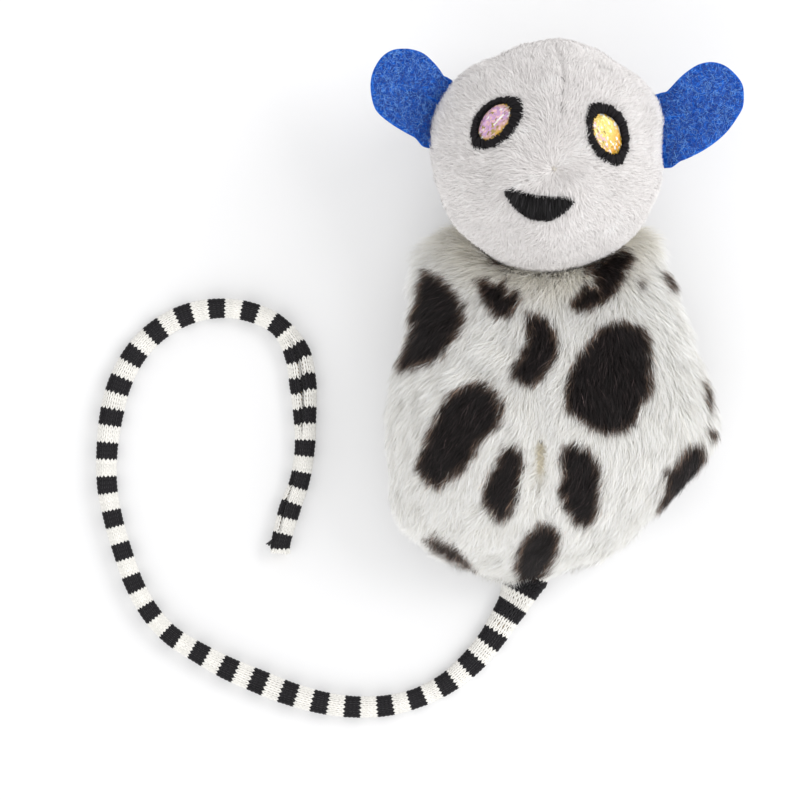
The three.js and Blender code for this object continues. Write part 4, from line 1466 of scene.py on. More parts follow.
@dataclass
class Ear:
    """Felt ear, cut from one sheet and folded once at its root."""

    head: Head
    side: Side
    length: float
    tilt: float
    outline_shares: tuple[Pair, ...]
    thickness: float = 1.2 * MM
    cup: float = 2.4 * MM
    crease_share: float = 0.165
    crease_depth: float = 0.35 * MM
    fibres: int = 5200
    felt_shades: tuple[Triple, ...] = ((14, 60, 150), (30, 94, 196), (86, 148, 230))
    fibre_shades: tuple[Triple, ...] = ((16, 60, 154), (36, 100, 202), (112, 168, 238))

    def __post_init__(self) -> None:
        """Take the root and its directions from the ear's joint."""
        joint = joint_named(f"ear_{self.side.label}_fold")
        self.root = np.array(joint["pos_m"])
        chord = -unit(np.array(joint["axis"]))
        level = np.array([chord[1], -chord[0], 0.0])
        level = level * self.side.value * np.sign(level[0])
        rise = math.radians(self.tilt)
        out = level * math.cos(rise) + np.array([0.0, 0.0, math.sin(rise)])
        self.axes = np.stack([out, chord, unit(np.cross(out, chord))])

    def height(self, plan: Array) -> Array:
        """Return the middle height of the folded felt.

        Args:
            plan: Places out and across in the ear's plane.

        Returns:
            Heights off that plane.
        """
        out = np.clip(plan[:, 0] / self.length, 0, 1)
        swell = np.sin(math.pi * out**0.7)
        away = plan[:, 1] - self.side.value * self.crease_share * self.length
        slope = np.minimum(np.abs(away) / (self.length / 2), 1)
        crease = self.crease_depth * np.exp(-((away / (0.9 * MM)) ** 2)) * (1 - smooth_step(0.05, 0.6, out))
        warp = 0.09 * MM * Ripple(6 * MM, 52).at(plan)
        return self.cup * swell * slope - crease + warp

    def build(self) -> None:
        """Make the sheet of felt and the loose fibres on it."""
        outline = rounded(np.array(self.outline_shares) * np.array([1, self.side.value]), 10) * self.length
        middle = np.array([0.45, 0.2 * self.side.value]) * self.length
        spokes = len(outline)
        rings, edge = 26, 7
        share = np.linspace(0.0, 1.0, rings) ** 0.8
        half = self.thickness / 2
        angle = np.linspace(math.pi / 2, -math.pi / 2, edge + 2)[1:-1]
        shares = np.concatenate([share, np.ones(edge), share[::-1]])
        beyond = np.concatenate([np.zeros(rings), 0.45 * half * np.cos(angle), np.zeros(rings)])
        rise = np.concatenate([np.full(rings, half), half * np.sin(angle), np.full(rings, -half)])
        outward = unit(outline - middle)
        plan = middle + (outline - middle)[None] * shares[:, None, None]
        plan += outward[None] * beyond[:, None, None]
        plan[..., 0] = np.where(plan[..., 0] < 0.4 * MM, plan[..., 0] - 0.9 * MM, plan[..., 0])
        flat = plan.reshape(-1, 2)
        fuzz = 0.03 * MM * Ripple(0.9 * MM, 53).at(flat)
        z = self.height(flat) + np.repeat(rise, spokes) * (1 + 0.05 * Ripple(3 * MM, 54).at(flat)) + fuzz
        points = np.column_stack([flat, z]) @ self.axes + self.root
        quads = grid_quads(len(shares), spokes)
        if self.side is Side.RIGHT:
            quads = quads[:, ::-1]
        inward = (np.arange(len(shares)) / len(shares))[:, None] * 0.98 + 0.01
        around = np.arange(spokes)[None] / spokes * 0.98 + 0.01
        chart = np.stack(np.broadcast_arrays(around, inward), -1)
        felt = FeltFinish(f"blue_felt_{self.side.label}", *(srgb(*shade) for shade in self.felt_shades))
        piece = add_piece(f"ear_felt_{self.side.label}", points, [quads], felt.build(),
                          chart=chart.reshape(-1, 2))
        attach(piece, f"{self.side.label}_ear")
        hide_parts(f"ear_{self.side.label}")
        self.make_fibres(outline)

    def make_fibres(self, outline: Array) -> None:
        """Mat loose fibres onto both faces and the cut edge.

        Args:
            outline: Outline of the ear in its plane.
        """
        rng = np.random.default_rng(55 + self.side.value)
        low, high = outline.min(axis=0), outline.max(axis=0)
        spots = rng.uniform(low, high, (self.fibres * 3, 2))
        spots = spots[SpottedCoat.inside(spots, outline) > 0.15 * MM][: self.fibres]
        count = len(spots)
        bearing = rng.uniform(0, 2 * math.pi, count)
        bend = rng.normal(0, 0.8, count)
        length = rng.uniform(0.5, 1.7, count) * MM
        t = np.linspace(-0.5, 0.5, 5)[None]
        turn = bearing[:, None] + bend[:, None] * t
        bent = np.stack([np.cos(turn), np.sin(turn)], axis=-1)
        plan = spots[:, None] + length[:, None, None] * t[..., None] * bent
        upper = rng.random(count) < 0.6
        face = np.where(upper, 1.0, -1.0)[:, None]
        lift = self.thickness / 2 + 0.05 * MM + 0.06 * MM * rng.random((count, 1)) * (1 - (2 * t) ** 2)
        z = self.height(plan.reshape(-1, 2)).reshape(count, -1) + face * lift
        path = np.concatenate([plan, z[..., None]], axis=-1)
        depth = SpottedCoat.inside(plan.reshape(-1, 2), outline).reshape(count, -1)
        inside = depth.min(axis=1) > -0.25 * MM
        path, count = path[inside], int(inside.sum())
        radius = 0.035 * MM * rng.uniform(0.7, 1.4, (count, 1)) * np.array([[0.5, 0.9, 1.0, 0.9, 0.5]])
        points, faces = sweep(path, radius, 4, UP)
        kind = rng.random((count, 1))
        deep, plain, light = (np.array(srgb(*shade)) for shade in self.fibre_shades)
        tint = np.where(kind < 0.38, deep, np.where(kind < 0.74, plain, light))
        finish = YarnFinish(f"felt_fibre_{self.side.label}", roughness=0.9, sheen=0.3, specular=0.1)
        piece = add_piece(f"ear_fibres_{self.side.label}", points @ self.axes + self.root, faces,
                          finish.build(), per_point(tint, len(points) // count), cell_chart(count, 4, 5))
        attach(piece, f"{self.side.label}_ear")


@dataclass
class BodyBag:
    """Stuffed fur body, with a dished seat for the head and a small parting in the belly."""

    coat: SpottedCoat
    head: Head
    length: float = 0.0802
    width: float = 0.072
    height: float = 0.038
    seam_height: float = 0.014
    middle_y: float = 0.0019
    floor_cut: float = 0.0005
    backing_depth: float = 2.2 * MM
    seat_gap: float = 0.5 * MM
    touch_gap: float = 0.15 * MM
    parting_x: float = -0.0035
    parting_y: float = -0.0107
    parting_length: float = 6.4 * MM
    parting_width: float = 1.6 * MM
    station_shares: tuple[float, ...] = (-1, -0.9, -0.8, -0.64, -0.4, -0.24, 0, 0.29, 0.58, 0.76, 0.9, 1)
    width_shares: tuple[float, ...] = (
        0.72, 1.02, 1.03, 1.03, 1.02, 1.026, 0.98, 0.925, 0.99, 1.16, 1.45, 1.6)
    centre_shares: tuple[float, ...] = (
        -0.22, -0.18, -0.183, -0.164, -0.061, -0.017, -0.02, -0.03, -0.055, -0.083, -0.05, -0.05)
    seam_shares: tuple[float, ...] = (0.57, 0.63, 0.68, 0.79, 0.93, 0.97, 1, 0.97, 0.92, 0.86, 0.835, 0.82)
    front_shares: tuple[float, ...] = (
        0.62, 0.85, 1, 1.03, 1.045, 1.045, 1, 0.91, 0.805, 0.705, 0.6, 0.54)
    back_shares: tuple[float, ...] = (0.95, 1.13, 1.11, 1.035, 1.02, 1.01, 1, 1.01, 1.12, 1.19, 1.06, 0.85)
    front_roundness_share: float = 0.95
    back_roundness_share: float = 0.77
    pile: Pile = Pile(length=5.6 * MM, width=0.09 * MM, rise_share=0.33, steps=4, clump_size=1.1 * MM,
                      clump_pull=0.2, seed=21, stray=0.32)
    strands: int = 210000
    flow_places_mm: tuple[Triple, ...] = (
        (-11.2, 31.5, 62), (-17.8, 33.0, 66), (-26.6, 31.5, 58), (-24.4, 23.1, 34), (-32.1, 11.0, 30),
        (-11.2, 23.1, 14), (-15.6, 12.1, 38), (-2.4, 12.1, 13), (-26.6, -3.3, 34), (-19.4, -6.4, 26),
        (-10.1, -17.4, 24), (-26.6, -25.3, 38), (-15.6, -33.0, 24), (-2.4, -3.3, 14), (-2.2, -20.9, 10),
        (-3.3, -32.3, 18), (6.8, -17.4, 22), (13.2, 6.4, 6), (8.6, 26.4, 18), (16.9, 31.5, -26),
        (21.8, 23.1, -24), (27.5, 26.8, -32), (30.6, 12.1, -14), (34.5, 2.4, -20), (35.4, -6.8, -32),
        (29.3, -16.1, 18), (21.8, -7.7, 6), (19.6, -25.3, 14), (10.8, -34.1, 6), (-0.2, 26.4, 2),
        (21.8, 36.3, -35), (-24.4, 36.3, 70),
    )
    flow_spread: float = 7 * MM

    def profile(self, shares: tuple[float, ...], along: Array) -> Array:
        """Return a row of shares, read smoothly along the body.

        Args:
            shares: Values at the stations.
            along: Places from -1 at the tail to 1 at the neck.

        Returns:
            The values there.
        """
        stations, values = np.array(self.station_shares), np.array(shares)
        slopes = np.gradient(values, stations)
        span = np.clip(np.searchsorted(stations, along) - 1, 0, len(stations) - 2)
        step = stations[span + 1] - stations[span]
        t = (along - stations[span]) / step
        return (values[span] * (1 + 2 * t) * (1 - t) ** 2 + step * slopes[span] * t * (1 - t) ** 2
                + values[span + 1] * t * t * (3 - 2 * t) + step * slopes[span + 1] * t * t * (t - 1))

    def surface(self, rows: int, columns: int) -> Surface:
        """Return the outer surface of the fur bag, without the seat of the head."""
        polar = np.linspace(0.004, math.pi - 0.004, rows)[:, None]
        around = np.linspace(0, 2 * math.pi, columns, endpoint=False)[None]
        x, y, z = np.broadcast_arrays(np.sin(polar) * np.cos(around), np.cos(polar),
                                      np.sin(polar) * np.sin(around))
        ring = np.maximum(np.hypot(x, z), 1e-9)
        front = z > 0
        power = np.where(front, self.front_roundness_share, self.back_roundness_share)
        across = np.sign(x) * ring * (np.abs(x) / ring) ** power
        rise = np.sign(z) * ring * (np.abs(z) / ring) ** power
        reach = np.where(front, (self.height - self.seam_height) * self.profile(self.front_shares, y),
                         (self.seam_height + self.floor_cut) * self.profile(self.back_shares, y))
        aside = self.profile(self.centre_shares, y) + self.profile(self.width_shares, y) * across
        points = np.stack([
            self.width / 2 * aside,
            self.middle_y + y * self.length / 2,
            self.seam_height * self.profile(self.seam_shares, y) + reach * rise], axis=-1)
        return Surface.of(points, np.array([0, self.middle_y, self.seam_height]))

    def off_head(self, points: Array, gap: float) -> Array:
        """Push points out of the head's ball.

        Args:
            points: Places on or in the body.
            gap: Least distance from the ball.

        Returns:
            Points that keep clear of it.
        """
        away = points - self.head.centre
        far = np.linalg.norm(away, axis=-1, keepdims=True)
        least = self.head.radius + gap
        return np.where(far < least, self.head.centre + away / np.maximum(far, 1e-9) * least, points)

    def flow(self, points: Array, normals: Array) -> Array:
        """Return the direction in which the fur is combed.

        Args:
            points: Places on the body.
            normals: Outward directions there.

        Returns:
            Directions, not yet laid onto the surface.
        """
        places = np.array(self.flow_places_mm)
        gap = np.linalg.norm(points[:, None, :2] - places[None, :, :2] * MM, axis=-1)
        weight = np.exp(-((gap / self.flow_spread) ** 2)) + 1e-6
        angle = np.radians((weight * places[:, 2]).sum(axis=1) / weight.sum(axis=1))
        below = smooth_step(0.1, 0.6, -normals[:, 2])
        angle = angle * (1 - below) + 0.15 * Ripple(9 * MM, 23).at(points)
        droop = -0.35 * smooth_step(0.3, 0.9, 1 - np.abs(normals[:, 2]))
        flow = np.stack([-np.sin(angle), -np.cos(angle), droop], axis=1)
        apart = self.from_parting(points)
        push = np.exp(-((apart / (2.2 * MM)) ** 2))[:, None]
        aside = np.sign(points[:, 0] - self.parting_x)[:, None] * np.array([[1.3, 0, 0]])
        return flow + push * aside

    def from_parting(self, points: Array) -> Array:
        """Return the distance of points of the belly from the middle line of the parting."""
        away = points[:, :2] - np.array([self.parting_x, self.parting_y])
        beyond = np.maximum(np.abs(away[:, 1]) - self.parting_length / 2, 0)
        return np.hypot(away[:, 0], beyond) + np.where(points[:, 2] < self.seam_height, 1.0, 0.0)

    def build(self) -> None:
        """Make the bag's cover and its fur."""
        bag = self.surface(140, 200)
        points = self.off_head(bag.inset(self.backing_depth), self.seat_gap + 0.5 * MM).reshape(-1, 3)
        points[:, 2] = np.maximum(points[:, 2], 0.35 * MM)
        # The cover takes the colour of the fur's roots, painted shade included, drawn 5% darker, and turns
        # tan at the parting.
        root = self.coat.tints(bag.points.reshape(-1, 1, 3), bag.normals.reshape(-1, 3), 22)[:, 0]
        tan = np.exp(-((self.from_parting(points) / (1.4 * MM)) ** 2))[:, None]
        tint = root * 0.95 * (1 - tan) + np.array(srgb(196, 186, 164)) * tan
        skin = add_piece("body_cover", points, bag.faces(), BackingFinish("fur_backing").build(),
                         tint, bag.chart())
        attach(skin, "body")
        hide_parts("body_front_panel", "body_back_panel")
        self.grow_fur(bag)

    def grow_fur(self, bag: Surface) -> None:
        """Grow the long pile in two pieces, over the belly and over the back.

        Args:
            bag: Outer surface of the bag.
        """
        inner = Surface(bag.inset(self.backing_depth), bag.normals)
        roots, normals = inner.scatter(self.strands, self.pile.seed)
        rng = np.random.default_rng(self.pile.seed + 9)
        off = np.linalg.norm(roots - self.head.centre, axis=1) - self.head.radius
        kept = off > 0.35 * MM
        kept &= (roots[:, 2] > 0.2 * MM) | (rng.random(len(roots)) < 0.5)
        parted = self.from_parting(roots)
        kept &= parted > 0.42 * self.parting_width * rng.uniform(0.6, 1.1, len(roots))
        roots, normals, off, parted = roots[kept], normals[kept], off[kept], parted[kept]
        stretch = rng.uniform(0.7, 1.1, len(roots)) * (1 + 0.1 * Ripple(5 * MM, 26).at(roots))
        stretch *= 0.8 + 0.2 * smooth_step(0, 4 * MM, off)
        stretch *= 0.6 + 0.4 * smooth_step(1 * MM, 4 * MM, parted)
        rise = np.full(len(roots), self.pile.rise_share) + 0.03 * Ripple(7 * MM, 27).at(roots)
        beside = smooth_step(9 * MM, 1 * MM, off)[:, None]
        rise += 0.16 * beside[:, 0] + 0.4 * smooth_step(2.2 * MM, 0.3 * MM, off)
        flow = unit(self.flow(roots, normals)) + 1.2 * beside * unit(roots - self.head.centre)
        lines = self.pile.grow(roots, normals, flow, stretch, rise)
        lines = self.off_head(lines, self.touch_gap)
        lines[..., 2] = np.maximum(lines[..., 2], 0.15 * MM + 0.05 * MM * rng.random((len(roots), 1)))
        tints = self.coat.tints(lines, normals, 28)
        tints = tints * (1 + 0.02 * Ripple(3 * MM, 29).at(roots)[:, None, None])
        tints = np.minimum(tints, 0.985) * (1 - beside[:, None] * np.array([0.0, 0.02, 0.07]))
        material = PileFinish("fur_pile", roughness=0.55).build()
        for name, part in (("body_fur_belly", normals[:, 2] >= 0), ("body_fur_back", normals[:, 2] < 0)):
            made = self.pile.ribbons(lines[part], normals[part], tints[part])
            fur = add_piece(name, material=material, **made)
            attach(fur, "body")


@dataclass
class Tail:
    """Knitted tube in black and cream bands, flat at its sewn root and frayed at its open end."""

    route_m: tuple[Pair, ...] = (
        (-0.0041, -0.0375), (-0.0094, -0.0454), (-0.0130, -0.0511), (-0.0174, -0.0564), (-0.0229, -0.0610),
        (-0.0295, -0.0643), (-0.0365, -0.0660), (-0.0438, -0.0662), (-0.0508, -0.0652), (-0.0578, -0.0632),
        (-0.0644, -0.0606), (-0.0712, -0.0577), (-0.0773, -0.0544), (-0.0835, -0.0505), (-0.0881, -0.0454),
        (-0.0916, -0.0391), (-0.0942, -0.0318), (-0.0962, -0.0248), (-0.0975, -0.0175), (-0.0975, -0.0099),
        (-0.0966, -0.0026), (-0.0949, 0.0042), (-0.0916, 0.0108), (-0.0868, 0.0160), (-0.0804, 0.0197),
        (-0.0732, 0.0212), (-0.0661, 0.0204), (-0.0598, 0.0173), (-0.0558, 0.0114), (-0.0545, 0.0044),
        (-0.0541, -0.0024), (-0.0541, -0.0094), (-0.0552, -0.0165), (-0.0574, -0.0228), (-0.0593, -0.0298),
        (-0.0595, -0.0323),
    )
    diameter: float = 4.6 * MM
    height: float = 2.4 * MM
    root_half_width: float = 4.4 * MM
    root_shift: float = 1.0 * MM
    root_half_thickness: float = 1.5 * MM
    root_length: float = 10.5 * MM
    courses_per_band: int = 4
    band_marks_mm: tuple[tuple[int, float], ...] = (
        (-1, -8.0), (0, 2.6), (1, 9.2), (2, 16.3), (15, 109.5), (20, 146.9), (27, 197.5), (34, 246.8),
    )
    crease_marks_mm: tuple[Pair, ...] = (
        (199, 1.6), (204.5, 1.57), (211.6, 1.53), (218.6, 1.33), (225.7, 1.0), (232.7, 0.7), (239.8, 0.95),
        (247, 1.2),
    )
    width_marks_mm: tuple[Pair, ...] = (
        (9, 6.3), (16, 5.4), (23, 5.1), (30, 4.4), (38, 4.0), (45, 4.3), (60, 4.6), (72, 5.0), (81, 4.7),
        (88, 4.2), (96, 3.9), (125, 3.9), (140, 4.4), (149, 5.0), (165, 4.7), (176, 4.4), (184, 4.0),
        (198, 4.1), (205, 5.6), (212, 5.7), (219, 4.7), (226, 4.1), (233, 4.1), (240, 4.5), (247, 4.0),
    )
    overhang: float = 0.15 * MM
    lead: float = 3.2 * MM
    wales: int = 14
    root_wales: int = 22
    steps: int = 180
    yarn_radius: float = 0.23 * MM
    loop_height_share: float = 0.84
    loop_bulge_share: float = 0.03
    loop_depth: float = 0.2 * MM
    course: float = 0.9 * MM
    black: Triple = srgb(27, 25, 29)
    cream: Triple = srgb(253, 251, 246)
    # Colour of the tube's inside under the cream bands: a tan that is painted shade inside the hollow tube.
    inner_cream: Triple = srgb(196, 176, 146)
    line: Array = field(init=False)
    along: Array = field(init=False)

    def __post_init__(self) -> None:
        """Draw the route finely and measure it."""
        points = np.array(self.route_m)
        padded = np.vstack([2 * points[0] - points[1], points, 2 * points[-1] - points[-2]])
        t = np.linspace(0, 1, 16, endpoint=False)[None, :, None]
        a, b, c, d = (padded[i : len(padded) - 3 + i][:, None] for i in range(4))
        curve = spline(a, b, c, d, t)
        end = points[-1] + unit(points[-1] - points[-2]) * np.linspace(0, self.overhang, 4)[:, None]
        inward = unit(np.array([0.25, 0.97]))
        start = points[0] + inward * np.linspace(self.lead, 0, 4, endpoint=False)[:, None]
        self.line = np.vstack([start, curve.reshape(-1, 2), end])
        steps = np.linalg.norm(np.diff(self.line, axis=0), axis=1)
        self.along = np.concatenate([[0], np.cumsum(steps)]) - self.lead

    def at(self, along: Array) -> tuple[Array, Array, Array]:
        """Return places on the route with the directions ahead and to the side.

        Args:
            along: Distances along the route.

        Returns:
            Places, directions ahead and directions to the side.
        """
        plan = np.stack([np.interp(along, self.along, self.line[:, i]) for i in range(2)], axis=-1)
        step = 0.4 * MM
        ahead = np.stack([np.interp(along + step, self.along, self.line[:, i])
                          - np.interp(along - step, self.along, self.line[:, i]) for i in range(2)], axis=-1)
        ahead = unit(np.concatenate([ahead, np.zeros((*ahead.shape[:-1], 1))], axis=-1))
        side = np.stack([ahead[..., 1], -ahead[..., 0], np.zeros(ahead.shape[:-1])], axis=-1)
        place = np.concatenate([plan, np.full((*plan.shape[:-1], 1), self.height)], axis=-1)
        return place, ahead, side

    def tube(self, along: Array, angle: Array, outside: Array) -> Array:
        """Return places on the knitted tube.

        Args:
            along: Distances along the route.
            angle: Angles round the tube, 0 at its right side and a quarter turn at its top.
            outside: Distances outside the yarn's middle.

        Returns:
            Places in space.
        """
        place, _, side = self.at(along)
        places, widths = np.array(self.width_marks_mm).T * MM
        plain = np.interp(along, places, widths) / 2 - self.yarn_radius
        full = self.diameter / 2 - self.yarn_radius
        flare = smooth_step(self.root_length, 0, along)
        wide = plain + (self.root_half_width - plain) * flare
        high = full * (0.95 - 0.5 * np.maximum(plain / full - 1, 0))
        high = high + (self.root_half_thickness - full) * flare
        size = outside - 0.75 * MM * self.creased(along, angle, 0.2)
        shift = self.root_shift * smooth_step(9 * MM, 2 * MM, along)
        return (place + ((wide + size) * np.cos(angle) + shift)[..., None] * side
                + ((high + size) * np.sin(angle))[..., None] * UP)

    def crease_angle(self, along: Array) -> Array:
        """Return the angle round the tube at which its lengthwise crease runs."""
        places, angles = np.array(self.crease_marks_mm).T
        return np.interp(along, places * MM, angles)

    def creased(self, along: Array, angle: Array, width: float) -> Array:
        """Return how deep in the lengthwise crease each place lies, from 0 to 1.

        Args:
            along: Distances along the route.
            angle: Angles round the tube.
            width: Half width of the crease as an angle.
        """
        first = smooth_step(0.199, 0.204, along) * smooth_step(0.225, 0.219, along)
        second = smooth_step(0.229, 0.233, along) * smooth_step(0.248, 0.243, along)
        return (first + 0.8 * second) * np.exp(-(((angle - self.crease_angle(along)) / width) ** 2))

    def slip(self, along: Array, angle: Array) -> Array:
        """Return how far the knit has slid along the tube, one way on each side of the crease."""
        twisted = smooth_step(0.201, 0.208, along) * smooth_step(0.225, 0.212, along)
        away = angle - self.crease_angle(along)
        slanted = smooth_step(7 * MM, 4.5 * MM, along) * (1 + np.cos(angle)) / 2
        return 0.8 * MM * slanted - 0.5 * MM * twisted * np.tanh(away / 0.2) * np.cos(away / 2) ** 2

    def build(self) -> None:
        """Make the tube's inside, darkened as painted shade, the two yarns and the frayed end."""
        total = self.along[-1]
        courses = np.arange(-2 * self.courses_per_band, 2 * self.courses_per_band * 36) + 0.5
        bands, places = np.array(self.band_marks_mm).T
        marks = bands * 2 * self.courses_per_band
        slope = (places[-1] - places[-2]) / (marks[-1] - marks[-2])
        middles = np.interp(courses, marks, places) + slope * (
            np.maximum(courses - marks[-1], 0) - np.maximum(marks[0] - courses, 0))
        middles = middles * MM
        black = np.mod(courses / self.courses_per_band + 0.5, 2) < 1
        inside = (middles > 0.5 * MM - self.lead) & (middles < total)
        courses, middles, black = courses[inside], middles[inside], black[inside]
        shaded_lining = self.make_lining(middles, black)
        yarns = [self.make_yarn("tail_yarn_black", middles[black], self.black, 71),
                 self.make_yarn("tail_yarn_cream", middles[~black], self.cream, 72)]
        fray = self.make_fray(total)
        for piece in (shaded_lining, *yarns):
            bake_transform(piece)
        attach(fray, "tail")
        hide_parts("tail_root", "tail_tube")
        path, _, _ = self.at(np.linspace(0, total, 240))

    def make_lining(self, middles: Array, black: Array) -> bpy.types.Object:
        """Make the inside of the tube, coloured darker than the yarn as painted shade that shows between the
        loops.

        Args:
            middles: Distance along the route of each course.
            black: True for the courses in black yarn.

        Returns:
            The piece.
        """
        rows, columns = 560, 20
        along = np.linspace(0, self.along[-1] - 0.4 * MM, rows)[:, None] * np.ones((1, columns))
        angle = np.ones((rows, 1)) * np.linspace(0, 2 * math.pi, columns, endpoint=False)[None]
        inset = 0.2 * MM + 0.85 * MM * smooth_step(self.root_length, 0, along)
        points = self.tube(along, angle, -inset).reshape(-1, 3)
        dark = black[np.abs(along.reshape(-1, 1) - middles[None]).argmin(axis=1)]
        # The inside is darker than the yarn, 0.6 of the black and a tan for the cream: painted shade inside
        # the hollow tube.
        tint = np.where(dark[:, None], np.array(self.black) * 0.6, np.array(self.inner_cream))
        lengthwise, around = (np.linspace(0, 1, count) for count in (rows, columns))
        chart = np.stack([np.repeat(lengthwise, columns), np.tile(around, rows)], axis=-1)
        caps = np.array([[0, i, i + 1] for i in range(1, columns - 1)])
        far = (rows - 1) * columns + caps[:, ::-1]
        return add_piece("tail_lining", points, [grid_quads(rows, columns), caps, far],
                         YarnFinish("knit_inside", roughness=0.95).build(), tint, chart)

    def make_yarn(self, name: str, middles: Array, colour: Triple, seed: int) -> bpy.types.Object:
        """Knit the courses of one yarn.

        Args:
            name: Name of the piece.
            middles: Distance along the route of each course.
            colour: Colour of the yarn.
            seed: Seed of the random draws.

        Returns:
            The piece.
        """
        rng = np.random.default_rng(seed)
        steps = self.steps + 1
        widened = smooth_step(self.root_length + 4 * MM, 3 * MM, middles)[:, None]
        wales = np.round(self.wales + (self.root_wales - self.wales) * widened)
        tau = np.linspace(0, 1, steps)[None] * wales
        shift = rng.normal(0, 0.02, (len(middles), 1))
        turn = tau + self.loop_bulge_share * np.sin(4 * math.pi * tau) + shift
        angle = -math.pi / 2 + 2 * math.pi * turn / wales
        along = middles[:, None] - self.loop_height_share * self.course * np.cos(2 * math.pi * tau)
        along = np.clip(along + self.slip(along, angle), -self.lead, self.along[-1] + 0.3 * MM)
        along = along + rng.normal(0, 0.03 * MM, (len(middles), 1))
        outside = -self.loop_depth * np.cos(4 * math.pi * tau) * np.ones_like(along)
        path = self.tube(along, angle, outside)
        _, _, side = self.at(along)
        outward = np.cos(angle)[..., None] * side + np.sin(angle)[..., None] * UP
        stretch = 1 + 0.1 * smooth_step(self.root_length, 0, along)
        radius = self.yarn_radius * stretch * rng.uniform(0.93, 1.07, (len(middles), 1))
        points, faces = sweep(path, radius, 4, outward)
        points[:, 2] = np.maximum(points[:, 2], 0.05 * MM)
        grade = rng.uniform(0.93, 1.0, (len(middles), 1, 1)) * np.ones((1, steps, 1))
        # The yarn is darkened by up to 0.6 along the crease: painted shade in the crease.
        tint = np.array(colour) * grade * (1 - 0.6 * self.creased(along, angle, 0.16)[..., None])
        chart = cell_chart(len(middles), 4, steps)
        tint = per_point(tint.reshape(-1, 3), 4)
        return add_piece(name, points, faces, YarnFinish(name).build(), tint, chart)

    def make_fray(self, total: float) -> bpy.types.Object:
        """Make the loose yarn ends at the open end of the tail.

        Args:
            total: Length of the route.

        Returns:
            The piece.
        """
        rng = np.random.default_rng(75)
        ends = ((0.5, 0.85, -0.9, 2.2, True), (0.3, 0.6, -1.1, 1.9, True), (0.9, 0.5, -1.0, 1.5, False),
                (1.5, 0.1, -1.2, 1.3, False), (2.1, -0.4, -1.2, 1.4, False), (2.7, -0.7, -1.0, 1.2, False))
        paths, radii, tints = [], [], []
        for angle, aside, ahead_share, length, dark in ends:
            back = (3.0 if dark else 1.2) * MM
            start = self.tube(np.array([total - back]), np.array([angle]), np.array([0.0]))[0]
            _, ahead, side = (v[0] for v in self.at(np.array([total])))
            course = unit(side * aside - ahead * ahead_share + np.array([0, 0, -0.25]))
            for _ in range(3):
                t = np.linspace(0, 1, 8)[:, None]
                wander = rng.normal(0, 0.1, 3) * t**2
                arch = np.array([0, 0, 0.25]) * np.sin(math.pi * t)
                path = start + length * MM * (t * course + wander + arch)
                path[:, 2] = np.maximum(path[:, 2], 0.2 * MM)
                paths.append(path)
                radii.append(0.2 * MM * np.linspace(1, 0.6, 8))
                tints.append(np.array(self.black if dark else self.cream))
        points, faces = sweep(np.stack(paths), np.stack(radii), 6, UP)
        tint = per_point(np.stack(tints), len(points) // len(paths))
        return add_piece("tail_frayed_end", points, faces, YarnFinish("frayed_yarn").build(), tint,
                         cell_chart(len(paths), 6, 8))


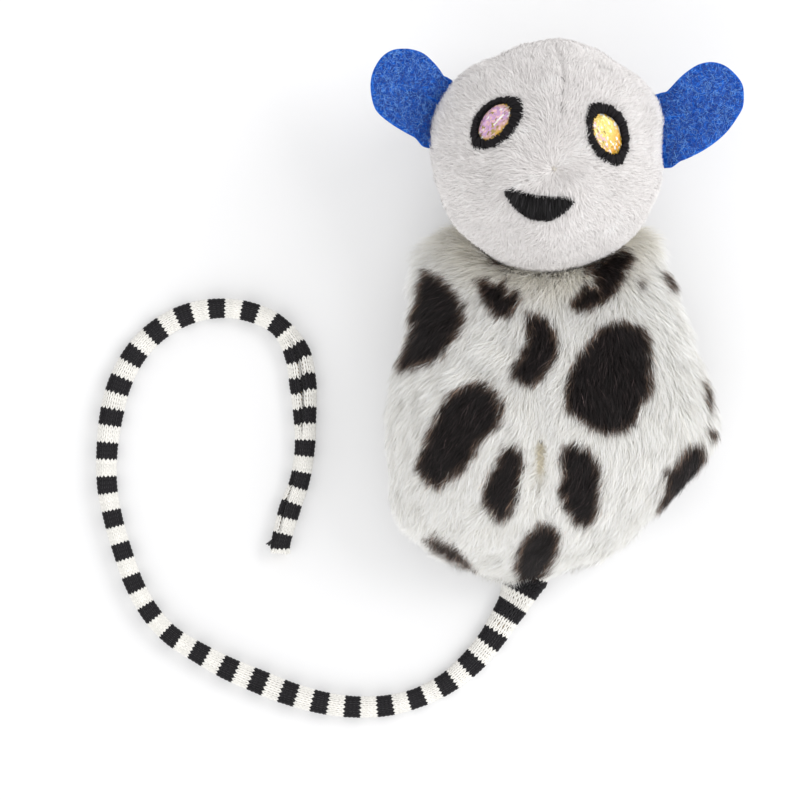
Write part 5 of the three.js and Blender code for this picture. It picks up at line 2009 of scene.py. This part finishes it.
@dataclass
class Stitches:
    """Short threads that show at the forehead seam, at the bridge and in the belly parting."""

    head: Head
    seam_stitches: tuple[Pair, ...] = (
        (15.5, 1.0), (12.7, 1.3), (10.0, 1.1), (8.8, 1.4))

    def build(self) -> None:
        """Make the three groups of threads."""
        self.make_seam()
        self.make_bridge()
        self.make_parting()

    def thread(self, name: str, finish: str, path: Array, radius: float, colour: Triple) -> bpy.types.Object:
        """Make short threads that lie on the head.

        Args:
            name: Name of the piece.
            finish: Name of its finish.
            path: Middle lines of the threads in the head's own frame.
            radius: Radius of each thread.
            colour: Its colour.

        Returns:
            The piece.
        """
        points, faces = sweep(path, np.full(path.shape[:2], radius), 6, unit(path))
        tint = np.tile(np.array(colour), (len(points), 1))
        chart = cell_chart(len(path), 6, path.shape[1])
        return add_piece(name, self.head.place(points), faces, YarnFinish(finish).build(), tint, chart)

    def make_seam(self) -> None:
        """Lay short dark stitches in the forehead seam."""
        rng = np.random.default_rng(101)
        paths = []
        for y, length in self.seam_stitches:
            t = np.linspace(-0.5, 0.5, 6)
            rise = y * MM + t * length * MM
            across = self.head.seam_across(rise) + rng.normal(0, 0.12 * MM)
            across = across + t * rng.normal(0, 0.4 * MM)
            depth = np.sqrt(np.maximum(self.head.radius**2 * 1.02 - rise**2 - across**2, 1e-8))
            units = unit(np.stack([across, rise, depth], axis=-1))
            lift = -0.35 * MM + 0.2 * MM * (1 - (2 * t) ** 2)
            paths.append(units * (self.head.reach(units) + lift)[:, None])
        piece = self.thread("forehead_seam_thread", "seam_thread", np.stack(paths), 0.08 * MM,
                            srgb(138, 134, 134))
        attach(piece, "head")
        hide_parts("forehead_stitches")

    def make_bridge(self) -> None:
        """Cross two pale threads where the bridge is pinched in."""
        paths = []
        for bearing in (0.35, 1.7, 2.6):
            t = np.linspace(-0.5, 0.5, 7)
            x = self.head.pinch_place[0] + t * 1.5 * MM * math.cos(bearing)
            y = self.head.pinch_place[1] + t * 1.5 * MM * math.sin(bearing)
            units = unit(np.stack([x, y, np.sqrt(self.head.radius**2 - x * x - y * y)], axis=-1))
            lift = -0.95 * MM - 0.5 * MM * (2 * t) ** 2
            paths.append(units * (self.head.reach(units) + lift)[:, None])
        piece = self.thread("bridge_tack_thread", "pinch_thread", np.stack(paths), 0.12 * MM,
                            srgb(214, 208, 198))
        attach(piece, "head")
        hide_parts("bridge_tack")

    def make_parting(self) -> None:
        """Draw the closing thread through the belly parting, with a dark coil at its top that is painted
        shade of a pin hole.
        """
        low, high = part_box("belly_closing_stitch")
        middle = np.array((low + high) / 2)
        size = np.array(high - low)
        t = np.linspace(0, 1, 40)
        zigzag = np.abs(np.mod(t * 5, 2) - 1) * 2 - 1
        path = np.stack([middle[0] + zigzag * size[0] * 0.34, low[1] + size[1] * t,
                         middle[2] + 0.15 * MM * np.cos(t * 10 * math.pi)], axis=-1)
        # A small dark coil stands for the pin hole: painted shade.
        hole_shade_turn = np.linspace(0, 4 * math.pi, 40)
        hole_shade = np.stack([middle[0] + 0.28 * MM * np.cos(hole_shade_turn),
                         high[1] + 0.1 * MM + 0.28 * MM * np.sin(hole_shade_turn),
                         middle[2] + 0.1 * MM * np.linspace(0, 1, 40)], axis=-1)
        paths = np.stack([path, hole_shade])
        radii = np.stack([np.full(40, 0.1 * MM), np.full(40, 0.12 * MM)])
        points, faces = sweep(paths, radii, 6, UP)
        # The second colour is the pin hole's painted shade.
        tint = per_point(np.array([srgb(208, 198, 174), srgb(92, 84, 66)]), len(points) // 2)
        piece = add_piece("belly_closing_thread", points, faces, YarnFinish("closing_thread").build(), tint,
                          cell_chart(2, 6, 40))
        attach(piece, "body")
        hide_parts("belly_closing_stitch")


class InnerParts:
    """Finishes of the solids that stay: stuffing, pouch, neck thread and the embroidery's underlay."""

    def build(self) -> None:
        """Give each solid its finish."""
        fibre = ClothFinish("loose_fibre", srgb(214, 212, 206), srgb(248, 247, 244), 420.0).build()
        pouch = ClothFinish("pouch_cotton", srgb(150, 142, 104), srgb(206, 199, 164), 700.0).build()
        thread = ClothFinish("neck_cord", srgb(176, 170, 156), srgb(222, 216, 202), 1800.0).build()
        under = ClothFinish("embroidery_underlay", srgb(12, 11, 13), srgb(34, 32, 34), 2200.0).build()
        choices = {"body_stuffing": fibre, "head_stuffing": fibre, "catnip_pouch": pouch,
                   "neck_thread": thread, "eye_ring_left": under, "eye_ring_right": under,
                   "nose_embroidery": under}
        for name, material in choices.items():
            solid = frame["nodes"][name]
            solid.data.materials.clear()
            solid.data.materials.append(material)


def main() -> None:
    """Build the toy piece by piece."""
    logging.basicConfig(level=logging.INFO, format="%(message)s")
    bpy.context.scene.view_settings.view_transform = "Standard"
    studio = Studio()
    studio.build()
    LOG.info("studio")
    Tail().build()
    LOG.info("tail")
    head = Head()
    eyes = [Eye(head, side=Side.LEFT, film_place=(-0.5 * MM, -0.1 * MM)),
            Eye(head, side=Side.RIGHT, outer_bulge=1.13)]
    nose = Nose(head)
    head.build(eyes, nose)
    LOG.info("head")
    for patch in (*eyes, nose):
        patch.build()
    LOG.info("eyes and nose")
    Ear(head, Side.LEFT, 0.016, 14.0, LEFT_EAR_SHARES).build()
    Ear(head, Side.RIGHT, 0.018, 4.0, RIGHT_EAR_SHARES).build()
    LOG.info("ears")
    BodyBag(SpottedCoat(studio), head).build()
    LOG.info("body")
    Stitches(head).build()
    InnerParts().build()
    LOG.info("stitches and inner parts")


if __name__ == "__main__":
    main()
